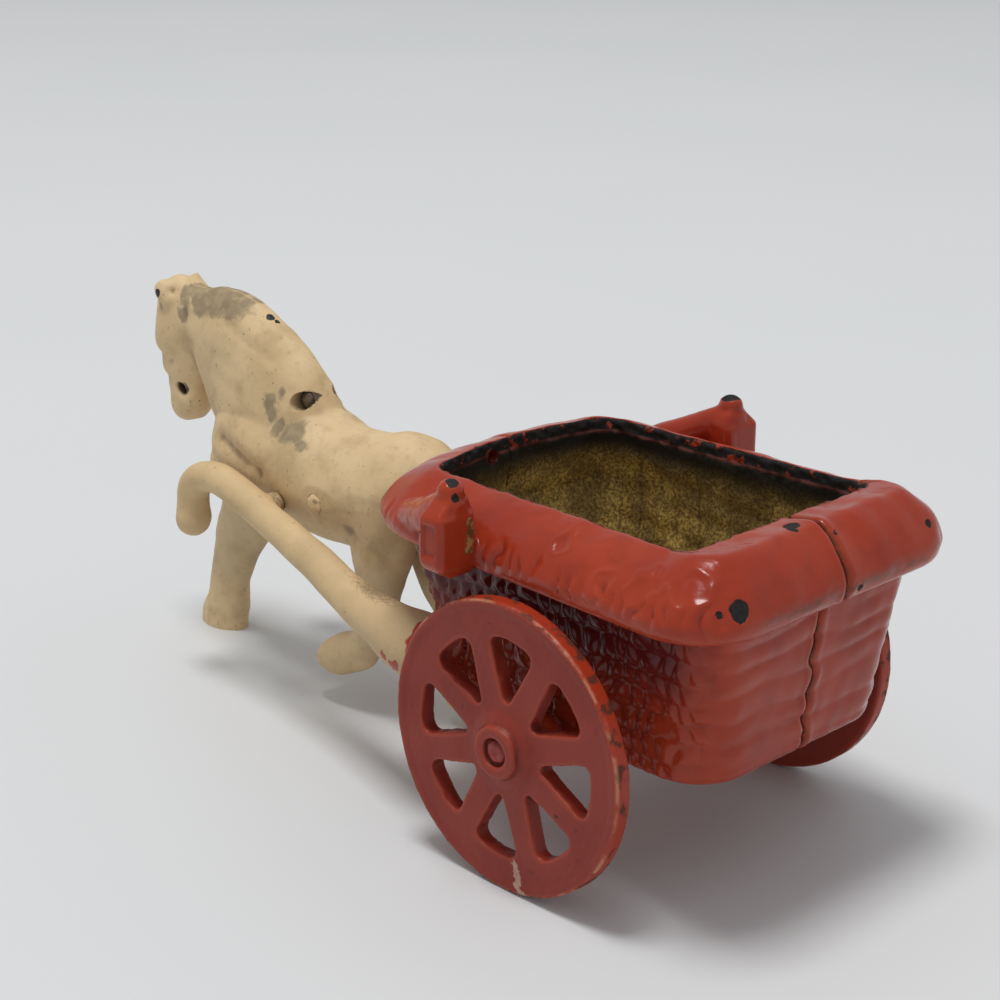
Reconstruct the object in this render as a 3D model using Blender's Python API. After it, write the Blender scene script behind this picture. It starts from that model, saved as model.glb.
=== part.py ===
"""Cast iron toy horse and carriage.

A two-wheeled cart with a deep tub, a rolled rim, a lamp on each side and two
curved shafts, drawn by a trotting horse.  The cart and the horse are each two
hollow half castings that meet on the centre plane and are held by peened
rivets.  A steel axle turns loosely in the tub's floor and carries two spoked
wheels, also loose, behind its peened ends.

Metres, +X towards the horse, +Y to the left, +Z up, the ground at z = 0 and the
origin below the middle of the whole toy.  Pieces are laid out from the axle
and then moved back together, so that the origin is in the middle.
"""
import math

import bmesh
import bpy
from mathutils import Matrix, Vector

MM = 0.001

# Clearances between separate pieces
PIECE_GAP = 0.30 * MM
RUNNING_GAP = 0.08 * MM

# Wheels
WHEEL_RADIUS = 35.0 * MM
WHEEL_THICKNESS = 4.4 * MM
WHEEL_EDGE_BREAK = 0.7 * MM
WHEEL_RIM_WIDTH = 8.4 * MM
SPOKE_COUNT = 8
SPOKE_WIDTH_AT_HUB = 7.6 * MM
SPOKE_WIDTH_AT_RIM = 6.2 * MM
SPOKE_TURN = math.radians(27.5)
OPENING_ROUND = 1.6 * MM
HUB_RADIUS = 6.6 * MM
HUB_PROUD = 2.8 * MM
HUB_TAIL = 4.0 * MM
HUB_RECESS_RADIUS = 3.4 * MM
HUB_RECESS_DEPTH = 1.8 * MM
HUB_TO_CART = 2.0 * MM

# Axle
AXLE_RADIUS = 2.2 * MM
AXLE_HEAD_RADIUS = 2.85 * MM
AXLE_HEAD_HEIGHT = 1.2 * MM
AXLE_TUBE_RADIUS = 4.2 * MM
AXLE_TUBE_PROUD = 5.0 * MM

# Tub, measured from the axle forwards, outwards and upwards
WALL = 3.0 * MM
TUB_FLOOR_DROP = 2.1 * MM
TUB_HEIGHT = 39.2 * MM
TUB_REAR = 45.5 * MM
TUB_REAR_FLARE = 4.0 * MM
TUB_SIDE = 34.3 * MM
TUB_SIDE_FLARE = 2.1 * MM
TUB_FRONT = 37.5 * MM
TUB_FRONT_RAKE = 14.5 * MM
TUB_FRONT_BOW = 4.0 * MM
TUB_BOTTOM_ROUND = 4.0 * MM
TUB_REAR_ROUND = 8.0 * MM
TUB_REAR_ROUND_BELOW = 15.0 * MM
TUB_FRONT_ROUND = 9.0 * MM

# Rolled rim round the tub, and the mouth inside it
RIM_HEIGHT = 15.2 * MM
RIM_EDGE_HEIGHT = 4.0 * MM
RIM_EDGE_TUCK = 1.4 * MM
RIM_REAR_RISE = 1.6 * MM
RIM_FLATTENING = 1.35                 # 1 would be a round roll, more is a flatter slope with an edge
RIM_REAR = 56.0 * MM
RIM_SIDE_REAR = 47.0 * MM
RIM_SIDE_FRONT = 43.4 * MM
RIM_FRONT = 64.8 * MM
RIM_BOW = 10.5 * MM
RIM_REAR_ROUND = 16.0 * MM
RIM_FRONT_ROUND = 17.0 * MM
MOUTH_REAR = 38.4 * MM
MOUTH_SIDE_REAR = 32.2 * MM
MOUTH_SIDE_FRONT = 30.4 * MM
MOUTH_FRONT = 47.0 * MM
MOUTH_BOW = 5.0 * MM
MOUTH_ROUND = 5.5 * MM
MOUTH_LIP = 2.2 * MM
BACK_ROLL = 0.55

# Openings through the tub's walls
SIDE_SLOT_WIDTH = 10.0 * MM
SIDE_SLOT_HEIGHT = 12.0 * MM
SIDE_SLOT_FORWARD = 2.2 * MM
SIDE_SLOT_RISE = 19.0 * MM
FRONT_HOLE_RADIUS = 1.9 * MM
FRONT_HOLE_SIDE = 6.0 * MM
FRONT_HOLE_BELOW_RIM = 4.4 * MM

# Lamps cast on the rim
LAMP_FORWARD = 17.4 * MM
LAMP_WIDTH = 7.8 * MM
LAMP_OUTER = 55.6 * MM
LAMP_IN_RIM = 0.7 * MM
LAMP_BODY_BELOW_RIM_TOP = 12.8 * MM
LAMP_BODY_HEIGHT = 13.0 * MM
LAMP_KNOB_RADIUS = 3.2 * MM
LAMP_KNOB_RISE = 7.2 * MM
LAMP_KNOB_INSET = 7.0 * MM
LAMP_FAIRING_LENGTH = 24.0 * MM
LAMP_FAIRING_IN_RIM = 4.7 * MM

# Shafts, cast with the cart halves
SHAFT_RADIUS = 4.5 * MM
SHAFT_ROOT_RADIUS = 9.5 * MM
SHAFT_ROOT_SIDE = 33.5 * MM
SHAFT_SIDE = 21.2 * MM
SHAFT_RISE_AT_PIN = 20.0 * MM
SHAFT_TIP_BULB = 5.0 * MM

# Horse, two half castings
RUMP_CLEARANCE = 4.0 * MM
HORSE_WALL = 3.4 * MM
PIN_RADIUS = 1.5 * MM
PIN_IN_SHAFT = 3.0 * MM
LUG_RADIUS = 3.2 * MM
FORELEG_SIDE = 4.8 * MM
HINDLEG_SIDE = 7.0 * MM
HORSE_CLEAR_SIDE = 30.0 * MM
HORSE_NOSE_FORWARD = 69.02 * MM

# Rivets
RIVET_RADIUS = 1.4 * MM
RIVET_HEAD_RADIUS = 2.8 * MM
RIVET_HEAD_HEIGHT = 1.3 * MM
RIVET_RECESS_RADIUS = 2.6 * MM
WITHERS_SEAT = 3.4 * MM
FLANK_BOSS_RADIUS = 3.4 * MM
FLANK_SEAT_DEPTH = 0.5 * MM
JOINT_LUG_THICKNESS = 4.0 * MM
JOINT_LUG_RADIUS = 3.8 * MM
BIT_HOLE_RADIUS = 1.3 * MM

# Smoothness of round shapes
ROUND_SIDES = 24
WHEEL_SIDES = 64
TUBE_SIDES = 12
BODY_SIDES = 18

AXLE_HEIGHT = WHEEL_RADIUS
SEAM = PIECE_GAP / 2.0
FLOOR_Z = AXLE_HEIGHT - TUB_FLOOR_DROP
LIP_Z = FLOOR_Z + TUB_HEIGHT
RIM_TOP_Z = LIP_Z + RIM_HEIGHT
CART_SIDE = TUB_SIDE + AXLE_TUBE_PROUD
HUB_INNER = CART_SIDE + HUB_TO_CART
WHEEL_INNER = HUB_INNER + HUB_TAIL
WHEEL_OUTER = WHEEL_INNER + WHEEL_THICKNESS
HUB_OUTER = WHEEL_OUTER + HUB_PROUD
PIN_Z = AXLE_HEIGHT + SHAFT_RISE_AT_PIN


# Scene and materials

def clear_scene():
    for old in list(bpy.data.objects):
        bpy.data.objects.remove(old)


def paint(name, colour, roughness, metallic):
    """One painted or bare metal surface."""
    finish = bpy.data.materials.new(name)
    finish.use_nodes = True
    shader = finish.node_tree.nodes["Principled BSDF"]
    shader.inputs["Base Color"].default_value = (*colour, 1.0)
    shader.inputs["Roughness"].default_value = roughness
    shader.inputs["Metallic"].default_value = metallic
    return finish


# Objects, unions and cuts

def make_object(name, mesh_edit, finish=None):
    """Turn a bmesh into a scene object with its faces pointing outwards."""
    bmesh.ops.recalc_face_normals(mesh_edit, faces=mesh_edit.faces)
    mesh = bpy.data.meshes.new(name)
    mesh_edit.to_mesh(mesh)
    mesh_edit.free()
    mesh.shade_smooth()
    mesh.set_sharp_from_angle(angle=math.radians(35.0))
    made = bpy.data.objects.new(name, mesh)
    bpy.context.scene.collection.objects.link(made)
    if finish is not None:
        mesh.materials.append(finish)
    return made


def guide(name, mesh_edit):
    """A shape that is only added to or cut from another one."""
    made = make_object(name, mesh_edit)
    made.hide_render = True
    made.display_type = "WIRE"
    return made


def combine(target, tool, operation):
    step = target.modifiers.new(tool.name, "BOOLEAN")
    step.operation = operation
    step.solver = "EXACT"
    step.object = tool


def add_shape(target, mesh_edit, label):
    combine(target, guide(target.name + "_" + label, mesh_edit), "UNION")


def cut_shape(target, mesh_edit, label):
    combine(target, guide(target.name + "_" + label, mesh_edit), "DIFFERENCE")


# Shapes

def skin(rings):
    """Close a list of rings of points, each ring as long as the last, into one body."""
    made = bmesh.new()
    rows = [[made.verts.new(point) for point in ring] for ring in rings]
    count = len(rows[0])
    for lower, upper in zip(rows, rows[1:]):
        for index in range(count):
            after = (index + 1) % count
            made.faces.new((lower[index], lower[after], upper[after], upper[index]))
    made.faces.new(list(reversed(rows[0])))
    made.faces.new(rows[-1])
    return made


def turned(profile, centre, sides=ROUND_SIDES):
    """A body turned about a line along Y, from (distance along Y, radius) pairs."""
    rings = []
    for along, radius in profile:
        ring = []
        for index in range(sides):
            angle = 2.0 * math.pi * index / sides
            offset = Vector((radius * math.cos(angle), along, radius * math.sin(angle)))
            ring.append(Vector(centre) + offset)
        rings.append(ring)
    return skin(rings)


def rod(radius, start, end, centre, sides=ROUND_SIDES):
    """A plain round bar along Y, from y = start to y = end through the centre's x and z."""
    x, z = centre
    return turned([(start, radius), (end, radius)], (x, 0.0, z), sides)


def block(low, high):
    """A box between two corners."""
    made = bmesh.new()
    bmesh.ops.create_cube(made, size=1.0)
    low = Vector(low)
    high = Vector(high)
    size = high - low
    bmesh.ops.scale(made, vec=size, verts=made.verts)
    bmesh.ops.translate(made, vec=(low + high) / 2.0, verts=made.verts)
    return made


def ball(radius, centre):
    made = bmesh.new()
    bmesh.ops.create_uvsphere(made, u_segments=TUBE_SIDES, v_segments=TUBE_SIDES // 2 + 1, radius=radius)
    bmesh.ops.translate(made, vec=centre, verts=made.verts)
    return made


def limb(stations, side_y, sides=BODY_SIDES):
    """A body lofted along a bent line in an upright plane.

    Each station is (x, z, half depth, half width): an ellipse square to the
    line, its depth in the plane and its width along Y.
    """
    rings = []
    last = len(stations) - 1
    for index, (x, z, depth, width) in enumerate(stations):
        before = stations[max(index - 1, 0)]
        after = stations[min(index + 1, last)]
        along = Vector((after[0] - before[0], 0.0, after[1] - before[1])).normalized()
        across = Vector((-along.z, 0.0, along.x))
        ring = []
        for step in range(sides):
            angle = 2.0 * math.pi * (step + 0.5) / sides
            sway = Vector((0.0, width * math.sin(angle), 0.0))
            ring.append(Vector((x, side_y, z)) + across * depth * math.cos(angle) + sway)
        rings.append(ring)
    return skin(rings)


def tube(points, radii, sides=TUBE_SIDES):
    """A round bar of changing thickness along a smooth line through the points."""
    rings = []
    last = len(points) - 1
    for index, point in enumerate(points):
        before = points[max(index - 1, 0)]
        after = points[min(index + 1, last)]
        along = (after - before).normalized()
        level = along.cross(Vector((0.0, 1.0, 0.0))).normalized()
        lift = level.cross(along)
        ring = []
        for step in range(sides):
            angle = 2.0 * math.pi * step / sides
            ring.append(point + radii[index] * (level * math.cos(angle) + lift * math.sin(angle)))
        rings.append(ring)
    return skin(rings)


def smooth_line(points, steps):
    """Points on a smooth curve through the given ones, with steps between each pair."""
    line = []
    for index in range(len(points) - 1):
        p0 = points[max(index - 1, 0)]
        p1 = points[index]
        p2 = points[index + 1]
        p3 = points[min(index + 2, len(points) - 1)]
        for step in range(steps):
            t = step / steps
            line.append([0.5 * ((2 * b) + (c - a) * t + (2 * a - 5 * b + 4 * c - d) * t ** 2
                                + (3 * b - a - 3 * c + d) * t ** 3)
                         for a, b, c, d in zip(p0, p1, p2, p3)])
    line.append(list(points[-1]))
    return line


def keep_half(target, side):
    """Cut away everything across the centre plane."""
    reach = 1.0
    if side > 0:
        waste = block((-reach, -reach, -reach), (reach, SEAM, reach))
    else:
        waste = block((-reach, -SEAM, -reach), (reach, reach, reach))
    cut_shape(target, waste, "across_the_seam")


# Cart

REAR_STEPS = 4
CORNER_STEPS = 6
SIDE_STEPS = 7


def plan(rear, side_rear, side_front, front, bow, rear_round, front_round):
    """Half of a tub outline, from the middle of the back to the middle of the front."""
    points = []
    for step in range(REAR_STEPS):
        points.append((-rear, (side_rear - rear_round) * step / REAR_STEPS))
    for step in range(CORNER_STEPS):
        angle = 0.5 * math.pi * step / CORNER_STEPS
        x = -rear + rear_round * (1.0 - math.cos(angle))
        points.append((x, side_rear - rear_round * (1.0 - math.sin(angle))))
    corner_x = front - bow
    start = (-rear + rear_round, side_rear)
    end = (corner_x - front_round, side_front)
    for step in range(SIDE_STEPS):
        t = step / SIDE_STEPS
        points.append((start[0] + (end[0] - start[0]) * t, start[1] + (end[1] - start[1]) * t))
    inner_y = side_front - front_round
    inner_x = front - bow * (inner_y / side_front) ** 2
    for step in range(CORNER_STEPS):
        t = step / CORNER_STEPS
        x = (1 - t) ** 2 * end[0] + 2 * t * (1 - t) * corner_x + t ** 2 * inner_x
        y = (1 - t) ** 2 * side_front + 2 * t * (1 - t) * side_front + t ** 2 * inner_y
        points.append((x, y))
    for step in range(REAR_STEPS + 1):
        y = inner_y * (1.0 - step / REAR_STEPS)
        points.append((front - bow * (y / side_front) ** 2, y))
    return points


def tub_plan(rise, inset):
    """The tub's outline at a height above its floor, drawn in by an inset."""
    share = min(max(rise / TUB_HEIGHT, 0.0), 1.0)
    rear_round = TUB_REAR_ROUND_BELOW + (TUB_REAR_ROUND - TUB_REAR_ROUND_BELOW) * share
    side = TUB_SIDE + TUB_SIDE_FLARE * share - inset
    return plan(
        TUB_REAR + TUB_REAR_FLARE * share - inset, side, side,
        TUB_FRONT + TUB_FRONT_RAKE * share - inset, TUB_FRONT_BOW,
        max(rear_round - inset, WALL), max(TUB_FRONT_ROUND - inset, WALL))


def rim_plans():
    """The rim's outlines: its lower edge, its widest place and the mouth."""
    edge = plan(RIM_REAR - RIM_EDGE_TUCK, RIM_SIDE_REAR - RIM_EDGE_TUCK, RIM_SIDE_FRONT - RIM_EDGE_TUCK,
                RIM_FRONT - RIM_EDGE_TUCK, RIM_BOW, RIM_REAR_ROUND, RIM_FRONT_ROUND)
    widest = plan(RIM_REAR, RIM_SIDE_REAR, RIM_SIDE_FRONT, RIM_FRONT, RIM_BOW,
                  RIM_REAR_ROUND, RIM_FRONT_ROUND)
    mouth = plan(MOUTH_REAR, MOUTH_SIDE_REAR, MOUTH_SIDE_FRONT, MOUTH_FRONT, MOUTH_BOW,
                 MOUTH_ROUND, MOUTH_ROUND)
    return edge, widest, mouth


def beside_rear(x):
    """0 along the back of the rim, rising to 1 where its sides begin."""
    return min(max((x + RIM_REAR) / RIM_REAR_ROUND, 0.0), 1.0)


def rim_level(widest, mouth, turn):
    """The rolled rim's outline at an angle from its widest place, 0, to its flat top, 1."""
    angle = 0.5 * math.pi * turn
    level = []
    for (wide_x, wide_y), (mouth_x, mouth_y) in zip(widest, mouth):
        beside = beside_rear(wide_x)
        inward = 1.0 - math.cos(angle) ** RIM_FLATTENING if turn < 1.0 else 1.0
        share = (BACK_ROLL + (1.0 - BACK_ROLL) * beside) * inward
        height = RIM_HEIGHT - RIM_EDGE_HEIGHT + RIM_REAR_RISE * (1.0 - beside)
        level.append((wide_x + (mouth_x - wide_x) * share, wide_y + (mouth_y - wide_y) * share,
                      LIP_Z + RIM_EDGE_HEIGHT + height * math.sin(angle) ** RIM_FLATTENING))
    return level


def tub_levels():
    """Every outline of the tub as x, y, z points: up the outside and down the inside."""
    levels = []
    for share in (0.0, 0.3, 0.7, 1.0):
        angle = 0.5 * math.pi * share
        inset = TUB_BOTTOM_ROUND * (1.0 - math.sin(angle))
        rise = TUB_BOTTOM_ROUND * (1.0 - math.cos(angle))
        levels.append(level_at(tub_plan(TUB_BOTTOM_ROUND, inset), FLOOR_Z + rise))
    for share in (0.35, 0.65, 0.95):
        levels.append(level_at(tub_plan(TUB_HEIGHT * share, 0.0), FLOOR_Z + TUB_HEIGHT * share))
    edge, widest, mouth = rim_plans()
    levels.append(level_at(edge, LIP_Z))
    for turn in (0.0, 0.25, 0.45, 0.62, 0.8, 1.0):
        levels.append(rim_level(widest, mouth, turn))
    top = levels[-1]
    levels.append([(x, y, z - MOUTH_LIP * 0.4) for (x, y), (_, _, z) in zip(mouth, top)])
    levels.append([(x, y, z - MOUTH_LIP * 2.0) for (x, y), (_, _, z) in zip(mouth, top)])
    for share in (0.96, 0.5, 0.16):
        levels.append(level_at(tub_plan(TUB_HEIGHT * share, WALL), FLOOR_Z + TUB_HEIGHT * share))
    levels.append(level_at(tub_plan(WALL, WALL + TUB_BOTTOM_ROUND), FLOOR_Z + WALL))
    return levels


def level_at(outline, z):
    return [(x, y, z) for x, y in outline]


def tub_half(side):
    """Half of the tub and rim, closed by a flat face on the centre plane."""
    made = bmesh.new()
    rows = []
    for level in tub_levels():
        rows.append([made.verts.new((x, side * max(y, SEAM), z)) for x, y, z in level])
    for lower, upper in zip(rows, rows[1:]):
        for index in range(len(lower) - 1):
            made.faces.new((lower[index], lower[index + 1], upper[index + 1], upper[index]))
    made.faces.new(rows[0])
    made.faces.new(rows[-1])
    made.faces.new([row[0] for row in rows] + [row[-1] for row in reversed(rows)])
    return made


def rim_side_at(x):
    """How far out the rim's straight side is beside a place."""
    start = -RIM_REAR + RIM_REAR_ROUND
    end = RIM_FRONT - RIM_BOW - RIM_FRONT_ROUND
    return RIM_SIDE_REAR + (RIM_SIDE_FRONT - RIM_SIDE_REAR) * (x - start) / (end - start)


def lamp_body(side):
    """The square lantern with its tapered foot and its hipped roof."""
    half = LAMP_WIDTH / 2.0
    base_z = RIM_TOP_Z - LAMP_BODY_BELOW_RIM_TOP
    top_z = base_z + LAMP_BODY_HEIGHT
    inner = rim_side_at(LAMP_FORWARD) - LAMP_IN_RIM
    middle = LAMP_OUTER - LAMP_KNOB_INSET
    knob_z = RIM_TOP_Z + LAMP_KNOB_RISE - LAMP_KNOB_RADIUS
    neck = LAMP_KNOB_RADIUS * 0.75
    break_edge = 0.8 * MM
    stations = [
        (base_z - 2.6 * MM, half * 0.55, inner, middle + 2.0 * MM),
        (base_z, half - break_edge * 0.3, inner, LAMP_OUTER - break_edge),
        (base_z + 1.6 * MM, half, inner, LAMP_OUTER),
        (top_z - 1.0 * MM, half, inner, LAMP_OUTER),
        (top_z, half - break_edge, inner, LAMP_OUTER - break_edge),
        (top_z + 2.2 * MM, neck * 1.25, inner + 1.0 * MM, middle + neck * 1.5),
        (knob_z, neck, middle - neck, middle + neck),
    ]
    rings = []
    for z, half_x, y_in, y_out in stations:
        cut = min(half_x, (y_out - y_in) / 2.0) * 0.3
        ring = []
        for x, y in ((-half_x + cut, y_in), (half_x - cut, y_in), (half_x, y_in + cut),
                     (half_x, y_out - cut), (half_x - cut, y_out), (-half_x + cut, y_out),
                     (-half_x, y_out - cut), (-half_x, y_in + cut)):
            ring.append((LAMP_FORWARD + x, side * y, z))
        rings.append(ring)
    return skin(rings)


def lamp_fairing(side):
    """The smooth shoulder that runs from the rim up to the lamp's knob."""
    middle = LAMP_OUTER - LAMP_KNOB_INSET
    knob_z = RIM_TOP_Z + LAMP_KNOB_RISE - LAMP_KNOB_RADIUS
    to_rim = middle - rim_side_at(LAMP_FORWARD) + LAMP_FAIRING_IN_RIM
    stations = [
        (-3.6 * MM, knob_z - 6.0 * MM, 4.0 * MM, 2.4 * MM, 0.0),
        (-2.0 * MM, knob_z - 4.4 * MM, 5.0 * MM, 3.4 * MM, 0.0),
        (2.0 * MM, knob_z - 5.0 * MM, 5.4 * MM, 4.0 * MM, 0.13),
        (8.0 * MM, knob_z - 7.6 * MM, 5.2 * MM, 4.6 * MM, 0.38),
        (15.0 * MM, knob_z - 10.4 * MM, 4.6 * MM, 4.6 * MM, 0.67),
        (LAMP_FAIRING_LENGTH, knob_z - 12.6 * MM, 2.6 * MM, 3.0 * MM, 1.0),
    ]
    rings = []
    for x, z, height, width, inward in stations:
        ring = []
        for step in range(TUBE_SIDES):
            angle = 2.0 * math.pi * step / TUBE_SIDES
            y = middle - to_rim * inward + width * math.cos(angle)
            ring.append((LAMP_FORWARD + x, side * y, z + height * math.sin(angle)))
        rings.append(ring)
    return skin(rings)


def shaft_route(side):
    """The shaft's centre line and its radius, from inside the tub's corner to the curled tip."""
    x = HORSE_PIN_FORWARD
    z = PIN_Z
    spread = SHAFT_ROOT_SIDE - SHAFT_SIDE
    stations = [
        (22.0 * MM, SHAFT_ROOT_SIDE - 3.0 * MM, AXLE_HEIGHT + 7.5 * MM, SHAFT_ROOT_RADIUS * 0.55),
        (33.0 * MM, SHAFT_ROOT_SIDE - 1.0 * MM, AXLE_HEIGHT + 6.5 * MM, SHAFT_ROOT_RADIUS * 0.8),
        (x * 0.381, SHAFT_ROOT_SIDE - 0.4 * MM, AXLE_HEIGHT + 6.8 * MM, SHAFT_ROOT_RADIUS * 0.88),
        (x * 0.480, SHAFT_ROOT_SIDE - 1.2 * MM, AXLE_HEIGHT + 8.2 * MM, SHAFT_ROOT_RADIUS * 0.70),
        (x * 0.619, SHAFT_SIDE + spread * 0.66, z - 9.8 * MM, SHAFT_RADIUS * 1.18),
        (x * 0.793, SHAFT_SIDE + spread * 0.33, z - 5.2 * MM, SHAFT_RADIUS * 1.04),
        (x, SHAFT_SIDE + spread * 0.05, z, SHAFT_RADIUS),
        (x + 14.0 * MM, SHAFT_SIDE, z + 3.9 * MM, SHAFT_RADIUS),
        (x + 23.0 * MM, SHAFT_SIDE, z + 3.6 * MM, SHAFT_RADIUS),
        (x + 28.8 * MM, SHAFT_SIDE, z - 0.6 * MM, SHAFT_RADIUS),
        (x + 30.0 * MM, SHAFT_SIDE, z - 6.0 * MM, SHAFT_RADIUS),
        (x + 29.9 * MM, SHAFT_SIDE, z - 9.9 * MM, SHAFT_TIP_BULB),
        (x + 29.7 * MM, SHAFT_SIDE, z - 13.0 * MM, SHAFT_TIP_BULB * 0.82),
        (x + 29.6 * MM, SHAFT_SIDE, z - 14.8 * MM, SHAFT_TIP_BULB * 0.35),
    ]
    line = smooth_line(stations, 2)
    points = [Vector((px, side * py, pz)) for px, py, pz, _ in line]
    return points, [radius for _, _, _, radius in line]


# Each rivet of the cart: its place, and where its ears' tails run into the wall
CART_JOINTS = (
    ("front", TUB_FRONT + TUB_FRONT_RAKE + 3.0 * MM, LIP_Z - 5.0 * MM, (-8.0 * MM, 0.0)),
    ("floor_front", 19.0 * MM, FLOOR_Z - 3.6 * MM, (0.0, 5.0 * MM)),
    ("floor_rear", -26.0 * MM, FLOOR_Z - 3.6 * MM, (0.0, 5.0 * MM)),
)


def joint_lug(side, x, z, reach_x, reach_z):
    """A cast ear beside the seam, with a tail that roots it in the tub's wall."""
    outline = []
    toward = math.atan2(reach_z, reach_x)
    for step in range(TUBE_SIDES // 2 + 1):
        angle = toward + 0.5 * math.pi + math.pi * step / (TUBE_SIDES // 2)
        outline.append((x + JOINT_LUG_RADIUS * math.cos(angle), z + JOINT_LUG_RADIUS * math.sin(angle)))
    outline.append((outline[-1][0] + reach_x, outline[-1][1] + reach_z))
    outline.append((outline[0][0] + reach_x, outline[0][1] + reach_z))
    rings = [[(px, side * y, pz) for px, pz in outline] for y in (SEAM, SEAM + JOINT_LUG_THICKNESS)]
    return skin(rings)


def slot_cutter(side):
    """The tall round-cornered opening through one side wall."""
    half_x = SIDE_SLOT_WIDTH / 2.0
    half_z = SIDE_SLOT_HEIGHT / 2.0
    corner = half_x * 0.6
    outline = []
    for quarter in range(4):
        middle_x = (half_x - corner) * (1 if quarter in (0, 3) else -1)
        middle_z = (half_z - corner) * (1 if quarter in (0, 1) else -1)
        for step in range(5):
            angle = 0.5 * math.pi * (quarter + step / 4.0)
            outline.append((middle_x + corner * math.cos(angle), middle_z + corner * math.sin(angle)))
    rings = []
    for y in (TUB_SIDE - 3.0 * WALL, TUB_SIDE + 3.0 * WALL):
        rings.append([(SIDE_SLOT_FORWARD + px, side * y, AXLE_HEIGHT + SIDE_SLOT_RISE + pz)
                      for px, pz in outline])
    return skin(rings)


def front_hole_cutter():
    """The round hole beside the seam in the front wall, seen on the left half alone."""
    z = RIM_TOP_Z - FRONT_HOLE_BELOW_RIM
    rings = []
    for x in (MOUTH_FRONT - 4.0 * WALL, RIM_FRONT + WALL):
        ring = []
        for step in range(TUBE_SIDES):
            angle = 2.0 * math.pi * step / TUBE_SIDES
            ring.append((x, FRONT_HOLE_SIDE + FRONT_HOLE_RADIUS * math.cos(angle),
                         z + FRONT_HOLE_RADIUS * math.sin(angle)))
        rings.append(ring)
    return skin(rings)


def stepped_hole(side, radius, seat, wide_radius, clear, centre, sides=TUBE_SIDES):
    """A cutter along Y: a narrow hole from across the seam, wide beyond a seat."""
    steps = [(-WALL, radius), (seat, radius), (seat, wide_radius), (clear, wide_radius)]
    return turned([(side * y, r) for y, r in steps], centre, sides)


def spans(side, near, far):
    """Two distances from the centre plane as y values in rising order."""
    return sorted((side * near, side * far))


def make_cart_half(side, name, red):
    half = make_object(name, tub_half(side), red)
    start, end = spans(side, SEAM, CART_SIDE)
    add_shape(half, rod(AXLE_TUBE_RADIUS, start, end, (0.0, AXLE_HEIGHT)), "axle_tube")
    points, radii = shaft_route(side)
    add_shape(half, tube(points, radii), "shaft")
    start, end = spans(side, horse_flank_at_pin() + PIECE_GAP, SHAFT_SIDE)
    add_shape(half, rod(LUG_RADIUS, start, end, (HORSE_PIN_FORWARD, PIN_Z), TUBE_SIDES), "shaft_lug")
    add_shape(half, lamp_body(side), "lamp")
    knob_y = side * (LAMP_OUTER - LAMP_KNOB_INSET)
    knob_z = RIM_TOP_Z + LAMP_KNOB_RISE - LAMP_KNOB_RADIUS
    add_shape(half, lamp_fairing(side), "lamp_fairing")
    add_shape(half, ball(LAMP_KNOB_RADIUS, (LAMP_FORWARD, knob_y, knob_z)), "lamp_knob")
    for label, x, z, tail in CART_JOINTS:
        add_shape(half, joint_lug(side, x, z, *tail), label + "_lug")
        start, end = spans(side, 0.0, SEAM + 2.0 * JOINT_LUG_THICKNESS)
        cut_shape(half, rod(RIVET_RADIUS + PIECE_GAP, start, end, (x, z), TUBE_SIDES), label + "_bore")
    start, end = spans(side, -WALL, CART_SIDE + WALL)
    cut_shape(half, rod(AXLE_RADIUS + RUNNING_GAP, start, end, (0.0, AXLE_HEIGHT)), "axle_bore")
    start, end = spans(side, 0.0, SHAFT_SIDE + PIN_IN_SHAFT + PIECE_GAP)
    pin_bore = rod(PIN_RADIUS + PIECE_GAP, start, end, (HORSE_PIN_FORWARD, PIN_Z), TUBE_SIDES)
    cut_shape(half, pin_bore, "pin_bore")
    cut_shape(half, slot_cutter(side), "side_slot")
    if side > 0:
        cut_shape(half, front_hole_cutter(), "front_hole")
    return half


# Horse.  Stations are measured from the cross pin, forwards and upwards, in millimetres.

TORSO = (
    (-52.0, 16.0, 2.0, 2.0), (-50.6, 15.2, 7.0, 6.4), (-47.0, 13.3, 11.4, 10.4), (-40.0, 10.7, 14.8, 13.6),
    (-28.0, 6.8, 15.8, 14.8), (-14.0, 5.4, 16.6, 15.0), (0.0, 7.0, 18.0, 15.0), (14.0, 9.2, 17.4, 14.6),
    (26.4, 9.3, 14.8, 13.0), (34.6, 7.0, 10.8, 10.0), (38.6, 5.4, 5.8, 6.0), (40.0, 4.8, 2.0, 2.0),
)
NECK = (
    (9.0, 9.4, 20.4, 12.8), (16.2, 16.6, 23.2, 11.6), (24.8, 25.2, 22.2, 10.0), (34.0, 32.8, 19.0, 8.8),
    (41.8, 38.0, 14.8, 7.8), (47.6, 41.0, 9.8, 6.6), (51.0, 42.2, 5.0, 4.0),
)
HEAD = (
    (53.6, 48.6, 3.0, 3.0), (56.0, 45.4, 9.0, 5.6), (57.6, 40.0, 11.4, 6.6), (58.2, 32.4, 11.0, 6.6),
    (58.2, 25.4, 9.4, 6.0), (58.0, 20.0, 7.4, 5.4), (57.4, 15.6, 6.6, 5.4), (56.6, 11.4, 5.6, 4.8),
    (55.8, 9.0, 2.8, 2.4),
)
POLL = ((33.0, 42.0, 3.0, 3.0), (38.0, 42.2, 5.4, 5.4), (46.0, 42.8, 6.2, 6.2), (54.0, 43.4, 5.6, 6.0),
        (59.0, 43.0, 3.0, 3.4))
LEFT_EAR = ((58.0, 43.0, 3.4, 2.8), (61.2, 46.4, 3.4, 2.6), (63.4, 48.8, 2.2, 1.8))
RIGHT_EAR = ((55.0, 44.0, 3.4, 2.6), (57.6, 48.4, 2.6, 2.0), (58.6, 51.4, 1.0, 1.0))
EAR_SIDE = 4.4 * MM

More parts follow.
